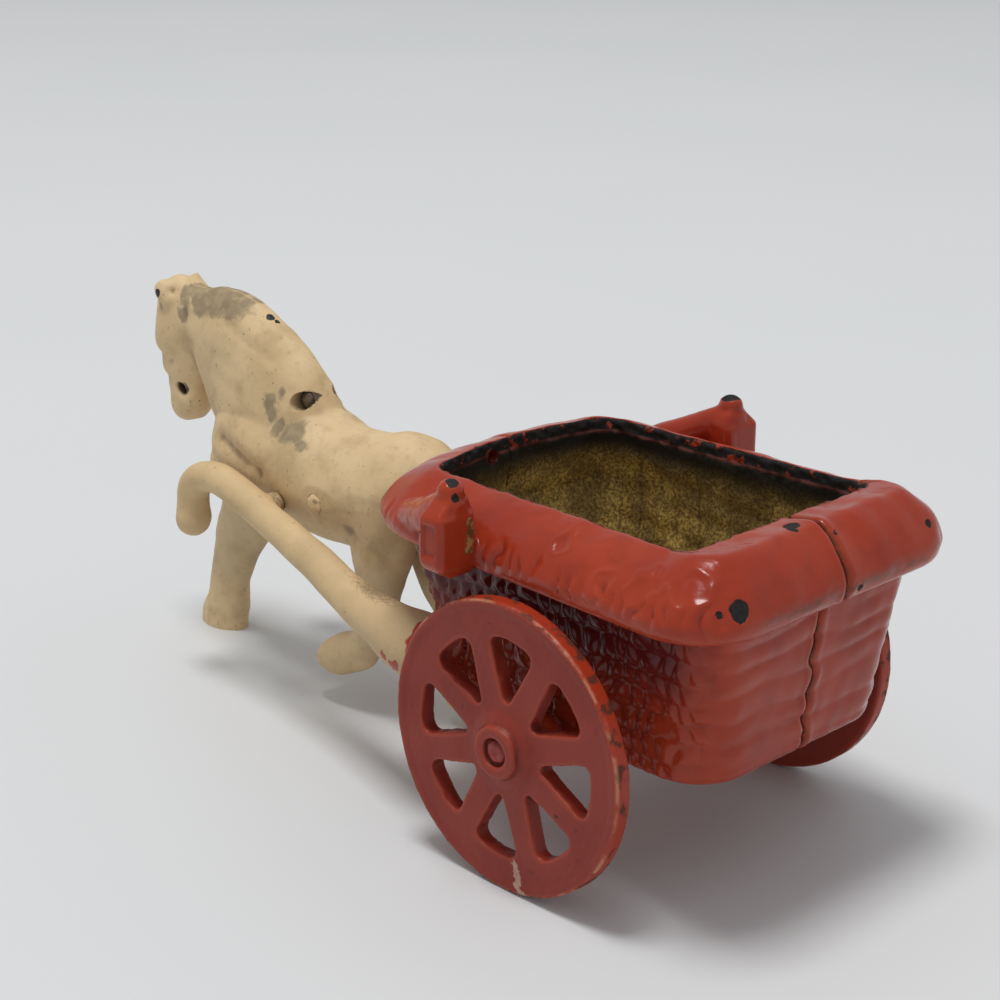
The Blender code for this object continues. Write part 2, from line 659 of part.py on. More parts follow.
# Legs: the height is a share of the pin's height above the ground
LEFT_FOREARM = (
    (15.0, 1.15, 8.6, 6.2), (24.0, 1.10, 8.2, 6.2), (30.6, 1.06, 7.0, 5.6), (35.4, 1.03, 5.6, 5.0),
    (38.2, 1.01, 2.6, 2.8),
)
LEFT_CANNON = (
    (36.6, 1.00, 3.4, 3.2), (33.4, 0.96, 5.2, 4.8), (27.0, 0.91, 4.6, 4.4), (20.6, 0.88, 4.8, 4.4),
    (15.0, 0.86, 5.2, 4.8), (11.4, 0.85, 3.4, 3.6),
)
RIGHT_FORELEG = (
    (24.0, 1.10, 12.0, 6.4), (30.4, 0.90, 12.6, 6.0), (37.6, 0.72, 11.6, 5.6), (43.9, 0.51, 8.6, 5.0),
    (47.2, 0.35, 7.4, 4.8), (49.0, 0.236, 7.0, 4.8), (49.9, 0.127, 7.8, 5.0), (51.3, 0.05, 8.6, 5.3),
    (52.4, -0.05, 9.0, 5.4),
)
LEFT_HINDLEG = (
    (-34.0, 1.14, 13.6, 7.4), (-33.0, 0.92, 11.4, 6.6), (-32.4, 0.73, 8.0, 5.4), (-31.6, 0.58, 5.8, 4.6),
    (-29.0, 0.45, 5.2, 4.4), (-25.6, 0.34, 5.6, 4.4), (-20.0, 0.28, 6.0, 4.8), (-13.0, 0.225, 5.2, 4.8),
    (-8.4, 0.19, 2.6, 3.2),
)
RIGHT_HINDLEG = (
    (-36.0, 1.12, 13.0, 7.4), (-38.6, 0.90, 11.0, 6.6), (-42.0, 0.71, 8.4, 5.4), (-46.4, 0.57, 6.0, 4.6),
    (-50.6, 0.43, 4.9, 4.2), (-52.6, 0.31, 5.0, 4.4), (-51.8, 0.19, 5.8, 4.8), (-50.4, 0.08, 7.0, 5.0),
)
HORSE_PIN_FORWARD = RIM_FRONT + RUMP_CLEARANCE - TORSO[0][0] * MM
WITHERS_RIVET = (-0.5, 27.0)
FLANK_RIVET = (-15.4, 3.6)
BIT_PLACE = (54.6, 19.4)


def horse_line(stations, slim=0.0):
    """Stations about the pin in metres, thinned all round by a wall."""
    line = []
    for x, z, depth, width in stations:
        line.append((HORSE_PIN_FORWARD + x * MM, PIN_Z + z * MM,
                     max(depth * MM - slim, 0.6 * MM), max(width * MM - slim, 0.6 * MM)))
    return line


def leg_line(stations):
    """Stations of a leg, whose heights are shares of the pin's height."""
    return [(HORSE_PIN_FORWARD + x * MM, share * PIN_Z, depth * MM, width * MM)
            for x, share, depth, width in stations]


def flank_width(x, z):
    """Half the torso's width at a place seen from the side."""
    for after, before in zip(TORSO[1:], TORSO):
        if before[0] <= x <= after[0]:
            t = (x - before[0]) / (after[0] - before[0])
            middle, depth, width = [b + (a - b) * t for a, b in zip(after[1:], before[1:])]
            inside = 1.0 - ((z - middle) / depth) ** 2
            return width * math.sqrt(max(inside, 0.0)) * MM
    return 0.0


def horse_flank_at_pin():
    """The widest part of the flank under the shaft's lug."""
    lug = LUG_RADIUS / MM
    return max(flank_width(x, z) for x in (-lug, 0.0, lug) for z in (0.0, lug))


def make_horse_half(side, name, cream):
    """One half shell: body, neck and head with the legs and the ear of its own side."""
    half = make_object(name, limb(horse_line(TORSO), 0.0), cream)
    add_shape(half, limb(horse_line(NECK), 0.0), "neck")
    add_shape(half, limb(horse_line(HEAD), 0.0), "head")
    add_shape(half, limb(horse_line(POLL), 0.0), "poll")
    if side > 0:
        legs = (("forearm", LEFT_FOREARM, FORELEG_SIDE), ("cannon", LEFT_CANNON, FORELEG_SIDE),
                ("hindleg", LEFT_HINDLEG, HINDLEG_SIDE))
        ear = LEFT_EAR
    else:
        legs = (("foreleg", RIGHT_FORELEG, FORELEG_SIDE), ("hindleg", RIGHT_HINDLEG, HINDLEG_SIDE))
        ear = RIGHT_EAR
    for label, stations, leg_side in legs:
        add_shape(half, limb(leg_line(stations), side * leg_side), label)
    below = block((0.0, -HORSE_CLEAR_SIDE, -PIN_Z), (2.0 * HORSE_PIN_FORWARD, HORSE_CLEAR_SIDE, 0.0))
    cut_shape(half, below, "ground")
    add_shape(half, limb(horse_line(ear), side * EAR_SIDE, TUBE_SIDES), "ear")
    cut_shape(half, limb(horse_line(TORSO[2:-2], HORSE_WALL), 0.0), "body_hollow")
    cut_shape(half, limb(horse_line(NECK[1:-2], HORSE_WALL), 0.0), "neck_hollow")
    for label, place, seat, radius in horse_rivets():
        bore = stepped_hole(side, RIVET_RADIUS + PIECE_GAP, seat, radius, HORSE_CLEAR_SIDE, place)
        cut_shape(half, bore, label + "_bore")
    start, end = spans(side, -WALL, HORSE_CLEAR_SIDE)
    pin_bore = rod(PIN_RADIUS + PIECE_GAP, start, end, (HORSE_PIN_FORWARD, PIN_Z), TUBE_SIDES)
    cut_shape(half, pin_bore, "pin_bore")
    bit = (HORSE_PIN_FORWARD + BIT_PLACE[0] * MM, PIN_Z + BIT_PLACE[1] * MM)
    cut_shape(half, rod(BIT_HOLE_RADIUS, start, end, bit, TUBE_SIDES), "bit_hole")
    keep_half(half, side)
    return half


def horse_rivets():
    """Each rivet's name, place, the seat under its head and the radius cleared round the head."""
    found = []
    for label, (x, z), radius in (("withers", WITHERS_RIVET, RIVET_RECESS_RADIUS),
                                  ("flank", FLANK_RIVET, FLANK_BOSS_RADIUS)):
        seat = WITHERS_SEAT if label == "withers" else flank_width(x, z) - FLANK_SEAT_DEPTH
        found.append((label, (HORSE_PIN_FORWARD + x * MM, 0.0, PIN_Z + z * MM), seat, radius))
    return found


def rivet_profile(seat_low, seat_high, head_radius, head_height):
    """A peened rivet: a shank between two low domes."""
    dome = [(1.0, 0.45), (0.72, 0.80), (0.32, 0.98), (0.0, 1.0)]
    profile = [(seat_low - head_height * h, head_radius * r) for h, r in dome]
    profile += [(seat_low, RIVET_RADIUS), (seat_high, RIVET_RADIUS)]
    profile += [(seat_high + head_height * h, head_radius * r) for h, r in reversed(dome)]
    return profile


def make_rivet(name, place, seat, head_radius, steel):
    profile = rivet_profile(-seat, seat, head_radius, RIVET_HEAD_HEIGHT)
    return make_object(name, turned(profile, place, TUBE_SIDES), steel)


# Wheels and axle

def opening_outline():
    """One opening between two spokes, centred on the +X direction, with rounded corners."""
    outer = WHEEL_RADIUS - WHEEL_RIM_WIDTH
    half_angle = math.pi / SPOKE_COUNT
    along = Vector((math.cos(half_angle), math.sin(half_angle)))
    across = Vector((math.sin(half_angle), -math.cos(half_angle)))
    near = along * HUB_RADIUS * 1.1 + across * SPOKE_WIDTH_AT_HUB / 2.0
    far = along * outer + across * SPOKE_WIDTH_AT_RIM / 2.0
    slope = (far - near).normalized()
    tip = near + (far - near) * near.y / (near.y - far.y)
    if tip.x < HUB_RADIUS:
        tip = Vector((HUB_RADIUS, 0.0))
    corner = far.normalized() * outer
    back_off = OPENING_ROUND * 1.6
    upper = [tip + slope * back_off]
    edge_point = corner - slope * back_off
    rim_angle = math.atan2(corner.y, corner.x)
    arc_start = rim_angle - back_off / outer
    arc_point = Vector((outer * math.cos(arc_start), outer * math.sin(arc_start)))
    for step in range(5):
        t = step / 4.0
        upper.append(edge_point * (1 - t) ** 2 + corner * 2 * t * (1 - t) + arc_point * t ** 2)
    arc_steps = 3
    for step in range(1, arc_steps + 1):
        angle = arc_start * (1.0 - step / arc_steps)
        upper.append(Vector((outer * math.cos(angle), outer * math.sin(angle))))
    lower = [Vector((p.x, -p.y)) for p in reversed(upper[:-1])]
    tip_point = (upper[0] + lower[-1]) / 2.0 - Vector((OPENING_ROUND * 0.35, 0.0))
    return upper + lower + [tip_point]


def make_wheel(side, name, red):
    """A cast wheel: flat rim and face, tapered spokes and a boss with a sunk bore."""
    edge = WHEEL_EDGE_BREAK
    outline = [
        (HUB_INNER, HUB_RADIUS * 0.85), (WHEEL_INNER, HUB_RADIUS), (WHEEL_INNER, WHEEL_RADIUS - edge),
        (WHEEL_INNER + edge, WHEEL_RADIUS), (WHEEL_OUTER - edge, WHEEL_RADIUS),
        (WHEEL_OUTER, WHEEL_RADIUS - edge), (WHEEL_OUTER, HUB_RADIUS),
        (HUB_OUTER - edge, HUB_RADIUS - edge * 0.5), (HUB_OUTER, HUB_RADIUS - edge * 1.5),
    ]
    profile = [(side * y, radius) for y, radius in outline]
    wheel = make_object(name, turned(profile, (0.0, 0.0, 0.0), WHEEL_SIDES), red)
    wheel.location = (0.0, 0.0, AXLE_HEIGHT)
    cutters = bmesh.new()
    outline = opening_outline()
    start, end = spans(side, WHEEL_INNER - WALL, WHEEL_OUTER + WALL)
    for index in range(SPOKE_COUNT):
        turn = Matrix.Rotation(SPOKE_TURN + math.pi * (2 * index + 1) / SPOKE_COUNT, 2)
        loops = []
        for y in (start, end):
            loops.append([cutters.verts.new((turn @ p)[:1] + (y,) + (turn @ p)[1:]) for p in outline])
        count = len(outline)
        for k in range(count):
            after = (k + 1) % count
            cutters.faces.new((loops[0][k], loops[0][after], loops[1][after], loops[1][k]))
        cutters.faces.new(loops[0])
        cutters.faces.new(loops[1])
    openings = guide(name + "_openings", cutters)
    openings.location = wheel.location
    combine(wheel, openings, "DIFFERENCE")
    bore = guide(name + "_bore", stepped_hole(
        side, AXLE_RADIUS + RUNNING_GAP, HUB_OUTER - HUB_RECESS_DEPTH, HUB_RECESS_RADIUS,
        HUB_OUTER + WALL, (0.0, 0.0, 0.0), ROUND_SIDES))
    bore.location = wheel.location
    combine(wheel, bore, "DIFFERENCE")
    return wheel


def make_axle(steel):
    """The steel rod with its two ends peened over inside the hubs' recesses."""
    seat = HUB_OUTER - HUB_RECESS_DEPTH + PIECE_GAP
    head = AXLE_HEAD_HEIGHT
    dome = [(head, 0.4), (head * 0.7, 0.85), (0.0, 1.0)]
    profile = [(-seat - h, AXLE_HEAD_RADIUS * r) for h, r in dome]
    profile += [(-seat, AXLE_RADIUS), (seat, AXLE_RADIUS)]
    profile += [(seat + h, AXLE_HEAD_RADIUS * r) for h, r in reversed(dome)]
    axle = make_object("axle", turned(profile, (0.0, 0.0, 0.0)), steel)
    axle.location = (0.0, 0.0, AXLE_HEIGHT)
    return axle


def build():
    clear_scene()
    red = paint("red_enamel", (0.42, 0.05, 0.03), 0.35, 0.0)
    cream = paint("cream_enamel", (0.60, 0.45, 0.27), 0.6, 0.0)
    steel = paint("worn_steel", (0.30, 0.28, 0.26), 0.4, 1.0)
    painted_rivet = paint("painted_rivet", (0.38, 0.05, 0.03), 0.4, 0.2)
    cream_rivet = paint("cream_rivet", (0.55, 0.42, 0.26), 0.6, 0.1)
    for side, hand in ((1, "left"), (-1, "right")):
        make_cart_half(side, "cart_half_" + hand, red)
        make_horse_half(side, "horse_half_" + hand, cream)
        make_wheel(side, "wheel_" + hand, red)
    make_axle(steel)
    for label, x, z, _ in CART_JOINTS:
        seat = SEAM + JOINT_LUG_THICKNESS + PIECE_GAP
        make_rivet("cart_rivet_" + label, (x, 0.0, z), seat, RIVET_HEAD_RADIUS, painted_rivet)
    for label, place, seat, cleared in horse_rivets():
        head = min(RIVET_HEAD_RADIUS, cleared - PIECE_GAP)
        make_rivet("horse_rivet_" + label, place, seat + PIECE_GAP, head, cream_rivet)
    reach = SHAFT_SIDE + PIN_IN_SHAFT
    pin = rod(PIN_RADIUS, -reach, reach, (HORSE_PIN_FORWARD, PIN_Z), TUBE_SIDES)
    make_object("horse_cross_pin", pin, steel)
    middle = (HORSE_PIN_FORWARD + HORSE_NOSE_FORWARD - RIM_REAR) / 2.0
    for made in bpy.data.objects:
        made.location.x -= middle


build()
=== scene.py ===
from math import atan2, cos, pi, radians, sin, sqrt

import bmesh
import bpy
import numpy as np
from mathutils import Matrix, Vector


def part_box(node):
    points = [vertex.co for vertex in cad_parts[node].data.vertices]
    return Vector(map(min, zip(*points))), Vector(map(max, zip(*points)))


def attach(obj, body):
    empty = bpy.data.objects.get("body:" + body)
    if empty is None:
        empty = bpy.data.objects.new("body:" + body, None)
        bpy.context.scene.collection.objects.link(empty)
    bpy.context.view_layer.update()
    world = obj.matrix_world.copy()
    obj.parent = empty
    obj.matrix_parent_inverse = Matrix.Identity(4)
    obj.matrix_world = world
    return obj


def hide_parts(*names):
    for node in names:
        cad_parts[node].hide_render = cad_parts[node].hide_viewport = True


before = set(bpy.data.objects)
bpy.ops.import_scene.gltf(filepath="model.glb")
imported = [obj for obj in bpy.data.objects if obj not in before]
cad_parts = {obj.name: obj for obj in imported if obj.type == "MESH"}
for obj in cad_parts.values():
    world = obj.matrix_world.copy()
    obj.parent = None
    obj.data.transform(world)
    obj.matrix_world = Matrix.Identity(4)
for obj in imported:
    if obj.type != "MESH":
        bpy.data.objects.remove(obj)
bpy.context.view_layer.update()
MM = 0.001


# The table, the light and the view.  The toy stands on a pale, smooth table top, in even white light
# with one large soft lamp high overhead.  The camera stands at the photograph's place.

class Wire:
    """What comes out of a node, which can be written in plain sums."""

    def __init__(self, finish, socket):
        self.finish = finish
        self.socket = socket

    def sum(self, operation, first, second):
        return self.finish.node("ShaderNodeMath", {"operation": operation}, {0: first, 1: second})

    def __add__(self, other):
        return self.sum("ADD", self, other)

    __radd__ = __add__

    def __sub__(self, other):
        return self.sum("SUBTRACT", self, other)

    def __rsub__(self, other):
        return self.sum("SUBTRACT", other, self)

    def __mul__(self, other):
        return self.sum("MULTIPLY", self, other)

    __rmul__ = __mul__

    def __or__(self, other):
        return self.sum("MAXIMUM", self, other)

    __ror__ = __or__


class Finish:
    """One surface: its paint or metal, its dirt and its wear."""

    def __init__(self, name):
        self.material = bpy.data.materials.new(name)
        self.material.use_nodes = True
        self.tree = self.material.node_tree
        self.shader = self.tree.nodes["Principled BSDF"]
        self.place = self.node("ShaderNodeTexCoord", output="Object")

    def node(self, kind, settings=None, sockets=None, output=0):
        """Any node: its type, its settings, what goes into its sockets and which output is used."""
        made = self.tree.nodes.new(kind)
        for name, value in (settings or {}).items():
            setattr(made, name, value)
        for key, value in (sockets or {}).items():
            self.feed(made.inputs[key], value)
        return Wire(self, made.outputs[output])

    def feed(self, socket, value):
        if isinstance(value, Wire):
            self.tree.links.new(value.socket, socket)
        else:
            socket.default_value = value

    def look(self, **values):
        """What the surface shows: colour, roughness and so on."""
        for name, value in values.items():
            if isinstance(value, tuple) and len(value) == 3:
                value = (*value, 1.0)
            self.feed(self.shader.inputs[name.replace("_", " ").title().replace("Ior", "IOR")], value)

    def cloud(self, size, detail):
        """Soft random patches, so many millimetres across, from 0 to 1."""
        return self.node("ShaderNodeTexNoise", sockets={
            "Vector": self.place, "Scale": 1.0 / (size * MM), "Detail": detail})

    def ramp(self, value, low, high):
        """0 below low and 1 above high, with a smooth change between."""
        return self.node("ShaderNodeMapRange", {"interpolation_type": "SMOOTHSTEP"},
                         {"Value": value, "From Min": low, "From Max": high})

    def patches(self, size, detail, low, high):
        """1 in the thick of the clouds and 0 between them."""
        return self.ramp(self.cloud(size, detail), low, high)

    def tint(self, share, first, second):
        """The first colour, changed to the second where the share is 1."""
        colours = [(*c, 1.0) if isinstance(c, tuple) else c for c in (first, second)]
        return self.node("ShaderNodeMix", {"data_type": "RGBA"},
                         {0: share, 6: colours[0], 7: colours[1]}, output=2)

    def stained(self, colour, value, low, high, stain, share=1.0):
        """The colour, changed to the stain's as the value goes from low to high."""
        return self.tint(self.ramp(value, low, high) * share, colour, stain)

    def marked(self, name):
        """A number kept with each point of the mesh."""
        return self.node("ShaderNodeAttribute", {"attribute_name": name}, output="Fac")

    def axis(self, letter):
        """The place along x, y or z, in millimetres."""
        return self.node("ShaderNodeSeparateXYZ", sockets={0: self.place}, output=letter) * (1.0 / MM)

    def chips(self, places, ragged):
        """1 on each broken patch, given as x, y, z and radius in millimetres."""
        rough = self.node("ShaderNodeTexNoise", sockets={
            "Vector": self.place, "Scale": 1.0 / (2.2 * MM), "Detail": 5.0}, output=1)
        shift = ragged * MM * 2.0
        torn = self.node("ShaderNodeVectorMath", {"operation": "MULTIPLY_ADD"},
                         {0: rough, 1: (shift, shift, shift), 2: self.place})
        found = None
        for x, y, z, radius in places:
            middle = tuple(v * MM + shift * 0.5 for v in (x, y, z))
            away = self.node("ShaderNodeVectorMath", {"operation": "DISTANCE"},
                             {0: torn, 1: middle}, output="Value")
            patch = self.ramp(away * (1.0 / (radius * MM)), 1.08, 0.92)
            found = patch if found is None else found | patch
        return found

    def bumps(self, height, depth):
        """Fine relief, so many millimetres deep."""
        bump = self.node("ShaderNodeBump", sockets={
            "Height": height, "Distance": depth * MM, "Strength": 1.0})
        self.feed(self.shader.inputs["Normal"], bump)


TABLE_SIZE = 8.0
TABLE_GAP = 0.05  # below the wheels, in millimetres
LAMP_SIZE = 1.1
LAMP_PLACE = Vector((0.2, 0.5, 4.0))
LAMP_POWER = 98.0
ROOM_LIGHT = 0.50
LENS_LENGTH = 75.78  # for a 36 mm wide picture
CAMERA_PLACE = (-0.369385, 0.351213, 0.240485)
CAMERA_RIGHT = (-0.704252, -0.709942, 0.003454)
CAMERA_UP = (0.232547, -0.226080, 0.945944)
CAMERA_BACK = (-0.670784, 0.666986, 0.324312)


def placed(name, data):
    """A new object in the scene."""
    made = bpy.data.objects.new(name, data)
    bpy.context.scene.collection.objects.link(made)
    return made


sheet = bmesh.new()
bmesh.ops.create_grid(sheet, x_segments=1, y_segments=1, size=TABLE_SIZE / 2.0)
table_mesh = bpy.data.meshes.new("table_top")
sheet.to_mesh(table_mesh)
sheet.free()
table = placed("table_top", table_mesh)
table.location.z = -TABLE_GAP * MM
top = Finish("pale_table")
broad = top.cloud(260.0, 2.0)
grain = top.cloud(1.2, 2.0)
top.look(base_color=top.tint(broad, (0.645, 0.66, 0.67), (0.675, 0.68, 0.68)), roughness=0.5 + grain * 0.1)
top.bumps(grain, 0.01)
table_mesh.materials.append(top.material)

room = bpy.data.worlds.new("room")
room.use_nodes = True
room.node_tree.nodes["Background"].inputs["Color"].default_value = (0.97, 0.985, 1.0, 1.0)
room.node_tree.nodes["Background"].inputs["Strength"].default_value = ROOM_LIGHT
bpy.context.scene.world = room
bpy.context.scene.view_settings.view_transform = "Standard"

lamp_light = bpy.data.lights.new("soft_lamp", "AREA")
lamp_light.size = LAMP_SIZE
lamp_light.energy = LAMP_POWER
lamp = placed("soft_lamp", lamp_light)
lamp.location = LAMP_PLACE
lamp.rotation_euler = (-LAMP_PLACE).to_track_quat("-Z", "Y").to_euler()

lens = bpy.data.cameras.new("camera")
lens.lens = LENS_LENGTH
lens.sensor_width = 36.0
lens.sensor_fit = "HORIZONTAL"
camera = placed("camera", lens)
rows = list(zip(CAMERA_RIGHT, CAMERA_UP, CAMERA_BACK, CAMERA_PLACE))
camera.matrix_world = Matrix(rows + [(0.0, 0.0, 0.0, 1.0)])
bpy.context.scene.camera = camera


# The two wheels.  Each is one iron casting, 70 mm across and 4.4 mm thick, with eight spokes and a boss
# with a sunk hole, dipped in brick-red enamel that has gone satin on the face and dirty on the tread.
# Each is loose on the axle.

AXLE_BACK = 66.91  # the axle's distance behind the middle of the toy
WHEEL_RADIUS = 35.0
WHEEL_INNER = 45.3
WHEEL_OUTER = 49.7
HUB_INNER = 41.3
HUB_OUTER = 52.5
HUB_RADIUS = 6.6
HUB_RECESS = 3.4
HUB_RECESS_DEPTH = 1.8
RIM_WIDTH = 8.4
SPOKES = 8
SPOKE_AT_HUB = 7.6
SPOKE_AT_RIM = 6.2
SPOKE_TURN = 27.5
AXLE_HOLE = 2.28
WHEEL_GRAIN = 0.36  # the size of the faces that the castings are made of
WAVES = 14  # how many waves make up the casting's soft unevenness
SHARP_EDGE = radians(52.0)


def closed(rings, around=False):
    """A body closed over a list of rings of points in millimetres, or over a ring of rings."""
    made = bmesh.new()
    rows = [[made.verts.new(((x - AXLE_BACK) * MM, y * MM, z * MM)) for x, y, z in ring] for ring in rings]
    count = len(rows[0])
    pairs = list(zip(rows, rows[1:])) + ([(rows[-1], rows[0])] if around else [])
    for lower, upper in pairs:
        for k in range(count):
            after = (k + 1) % count
            made.faces.new((lower[k], lower[after], upper[after], upper[k]))
    if not around:
        made.faces.new(list(reversed(rows[0])))
        made.faces.new(rows[-1])
    bmesh.ops.recalc_face_normals(made, faces=made.faces)
    return made


def circle(sides, shift=0.0):
    """Even steps round a circle, as pairs of cosine and sine."""
    angles = [2.0 * pi * (k + shift) / sides for k in range(sides)]
    return [(cos(angle), sin(angle)) for angle in angles]


def turned(profile, x, z, side=1, sides=96, around=False):
    """A body turned about a line along Y, from distance and radius pairs."""
    return closed([[(x + r * c, side * y, z + r * s) for c, s in circle(sides)] for y, r in profile], around)


def block(low, high):
    """A box between two corners."""
    ring = ((low[0], low[1]), (high[0], low[1]), (high[0], high[1]), (low[0], high[1]))
    return closed([[(x, y, z) for x, y in ring] for z in (low[2], high[2])])


def cast(name, shapes):
    """One object out of several closed shapes."""
    mesh = bpy.data.meshes.new(name)
    whole = bmesh.new()
    for shape in shapes:
        part = bpy.data.meshes.new("part")
        shape.to_mesh(part)
        shape.free()
        whole.from_mesh(part)
        bpy.data.meshes.remove(part)
    whole.to_mesh(mesh)
    whole.free()
    return placed(name, mesh)


def settle(piece):
    """Make what the modifiers show the piece's own mesh."""
    graph = bpy.context.evaluated_depsgraph_get()
    shown = bpy.data.meshes.new_from_object(piece.evaluated_get(graph), depsgraph=graph)
    piece.modifiers.clear()
    old = piece.data
    piece.data = shown
    bpy.data.meshes.remove(old)


def cut(piece, shapes):
    """Take the shapes away from the piece."""
    for shape in shapes:
        tool = cast("cutter", [shape])
        step = piece.modifiers.new("cut", "BOOLEAN")
        step.operation = "DIFFERENCE"
        step.solver = "EXACT"
        step.object = tool
        settle(piece)
        bpy.data.objects.remove(tool)


def pour(piece, grain):
    """Melt the shapes into one skin of even small faces."""
    step = piece.modifiers.new("pour", "REMESH")
    step.mode = "VOXEL"
    step.voxel_size = grain * MM
    settle(piece)


class Skin:
    """The points of a piece's mesh in millimetres, from the axle forwards, with what lies round each."""

    def __init__(self, piece):
        self.mesh = piece.data
        count = len(self.mesh.vertices)
        flat = np.empty(count * 3)
        self.mesh.vertices.foreach_get("co", flat)
        self.points = flat.reshape(-1, 3) / MM + (AXLE_BACK, 0.0, 0.0)
        edges = np.empty(len(self.mesh.edges) * 2, dtype=np.int32)
        self.mesh.edges.foreach_get("vertices", edges)
        self.one, self.other = edges.reshape(-1, 2).T
        self.near = np.bincount(self.one, minlength=count) + np.bincount(self.other, minlength=count)
        self.near = np.maximum(self.near, 1)

    def averaged(self, values, rounds):
        """Each value drawn towards its neighbours, so many times."""
        count = len(self.near)
        for _ in range(rounds):
            total = np.empty_like(values)
            for k in range(values.shape[1]):
                total[:, k] = (np.bincount(self.one, values[self.other, k], count)
                               + np.bincount(self.other, values[self.one, k], count))
            values = 0.5 * values + 0.5 * total / self.near[:, None]
        return values

    def soften(self, rounds):
        self.points = self.averaged(self.points, rounds)
        self.write()

    def write(self):
        self.mesh.vertices.foreach_set("co", ((self.points - (AXLE_BACK, 0.0, 0.0)) * MM).ravel())
        self.mesh.update()

    def facing(self):
        flat = np.empty(len(self.near) * 3)
        self.mesh.vertex_normals.foreach_get("vector", flat)
        return flat.reshape(-1, 3)

    def raise_by(self, height):
        """Move each point outwards by its height in millimetres."""
        self.points = self.points + self.facing() * height[:, None]
        self.write()

    def keep_inside(self, *nodes):
        """Stay within the box of the solids that the piece stands for."""
        boxes = [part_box(node) for node in nodes]
        low = np.min([np.array(box[0]) for box in boxes], axis=0) / MM + (AXLE_BACK, 0.0, 0.0)
        high = np.max([np.array(box[1]) for box in boxes], axis=0) / MM + (AXLE_BACK, 0.0, 0.0)
        self.points = np.clip(self.points, low, high)
        self.write()

    def mark(self, name, values):
        """Keep a number with each point, for the surface to use."""
        kept = self.mesh.attributes.new(name, "FLOAT", "POINT")
        kept.data.foreach_set("value", values.astype(np.float32))

    def mark_relief(self, rounds=24):
        """How far each point stands out from the surface round it, in millimetres."""
        away = self.points - self.averaged(self.points, rounds)
        self.mark("relief", (away * self.facing()).sum(axis=1))

    def lumps(self, size, seed):
        """Soft random waves over the piece, so many millimetres long, about -1 to 1."""
        random = np.random.default_rng(seed)
        ways = random.normal(size=(WAVES, 3))
        ways *= (random.uniform(0.7, 1.4, WAVES) / np.linalg.norm(ways, axis=1))[:, None]
        turns = random.uniform(0.0, 2.0 * pi, WAVES)
        waves = np.sin(self.points @ ways.T * (2.0 * pi / size) + turns)
        return waves.sum(axis=1) * sqrt(2.0 / WAVES)


def ease(value, low, high):
    """0 below low and 1 above high, with a smooth change between."""
    t = np.clip((value - low) / (high - low), 0.0, 1.0)
    return t * t * (3.0 - 2.0 * t)


def bell(away, width):
    """1 where away is 0, falling off to nothing over about twice the width."""
    return np.exp(-(away / width) ** 2)


def finished(piece, finish, body, slot, *nodes):
    """Smooth shading, the material, and the solids and the body that the piece belongs to."""
    piece.data.materials.clear()
    piece.data.materials.append(finish.material)
    piece.data.shade_smooth()
    piece.data.set_sharp_from_angle(angle=SHARP_EDGE)
    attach(piece, body)
    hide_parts(*nodes)


def wheel_opening():
    """The outline of one opening between two spokes, about the +X direction."""
    outer = WHEEL_RADIUS - RIM_WIDTH
    half = pi / SPOKES
    along = Vector((cos(half), sin(half)))
    across = Vector((sin(half), -cos(half)))
    near = along * HUB_RADIUS * 1.1 + across * SPOKE_AT_HUB / 2.0
    far = along * outer + across * SPOKE_AT_RIM / 2.0
    slope = (far - near).normalized()
    tip = near + (far - near) * near.y / (near.y - far.y)
    corner = far.normalized() * outer
    back_off = 3.4
    upper = [tip + slope * 2.6]
    before = corner - slope * back_off
    swing = atan2(corner.y, corner.x) - back_off / outer
    beyond = Vector((outer * cos(swing), outer * sin(swing)))
    for k in range(9):
        t = k / 8.0
        upper.append(before * (1 - t) ** 2 + corner * 2 * t * (1 - t) + beyond * t ** 2)
    for k in range(1, 7):
        a = swing * (1.0 - k / 6.0)
        upper.append(Vector((outer * cos(a), outer * sin(a))))
    lower = [Vector((p.x, -p.y)) for p in reversed(upper[:-1])]
    return upper + lower + [(upper[0] + lower[-1]) / 2.0 - Vector((0.6, 0.0))]


wheel_red = Finish("wheel_enamel")
broad = wheel_red.cloud(17.0, 3.0)
fine = wheel_red.cloud(0.9, 3.0)
spots = wheel_red.cloud(2.1, 2.0)
relief = wheel_red.marked("relief")
tread = wheel_red.marked("tread")
hollow_shade = wheel_red.ramp(relief, -0.02, -0.16)
colour = wheel_red.stained((0.262, 0.030, 0.016), broad, 0.35, 0.7, (0.225, 0.022, 0.011))
# Painted highlight: the red is lightened towards orange on the raised places.
colour = wheel_red.stained(colour, relief, 0.05, 0.2, (0.42, 0.075, 0.035), 0.3)
colour = wheel_red.tint(tread * 0.85, colour, (0.36, 0.032, 0.008))
# Real dirt in patches on the tread, and painted shade: the hollows are darkened in the same dark brown.
dirt_and_shade = tread * wheel_red.patches(3.4, 5.0, 0.50, 0.62) | hollow_shade * 0.6
colour = wheel_red.tint(dirt_and_shade * 0.85, colour, (0.060, 0.018, 0.008))
worn_edge = wheel_red.marked("edge") * wheel_red.patches(5.0, 5.0, 0.46, 0.60)
colour = wheel_red.tint(worn_edge * 0.7, colour, (0.55, 0.26, 0.15))
specks = wheel_red.ramp(spots, 0.735, 0.77)
colour = wheel_red.tint(specks * 0.9, colour, (0.03, 0.010, 0.008))
scrape = wheel_red.ramp(wheel_red.marked("scrape") + (wheel_red.cloud(1.7, 5.0) - 0.5) * 1.5, 0.52, 0.62)
colour = wheel_red.tint(scrape * 0.85, colour, (0.46, 0.30, 0.22))
wheel_red.look(base_color=colour, roughness=0.44 + broad * 0.12 - tread * 0.1 + dirt_and_shade * 0.25,
               specular_ior_level=0.35)
wheel_red.bumps(fine * 0.5 + wheel_red.cloud(4.0, 3.0) - dirt_and_shade * 0.4, 0.04)

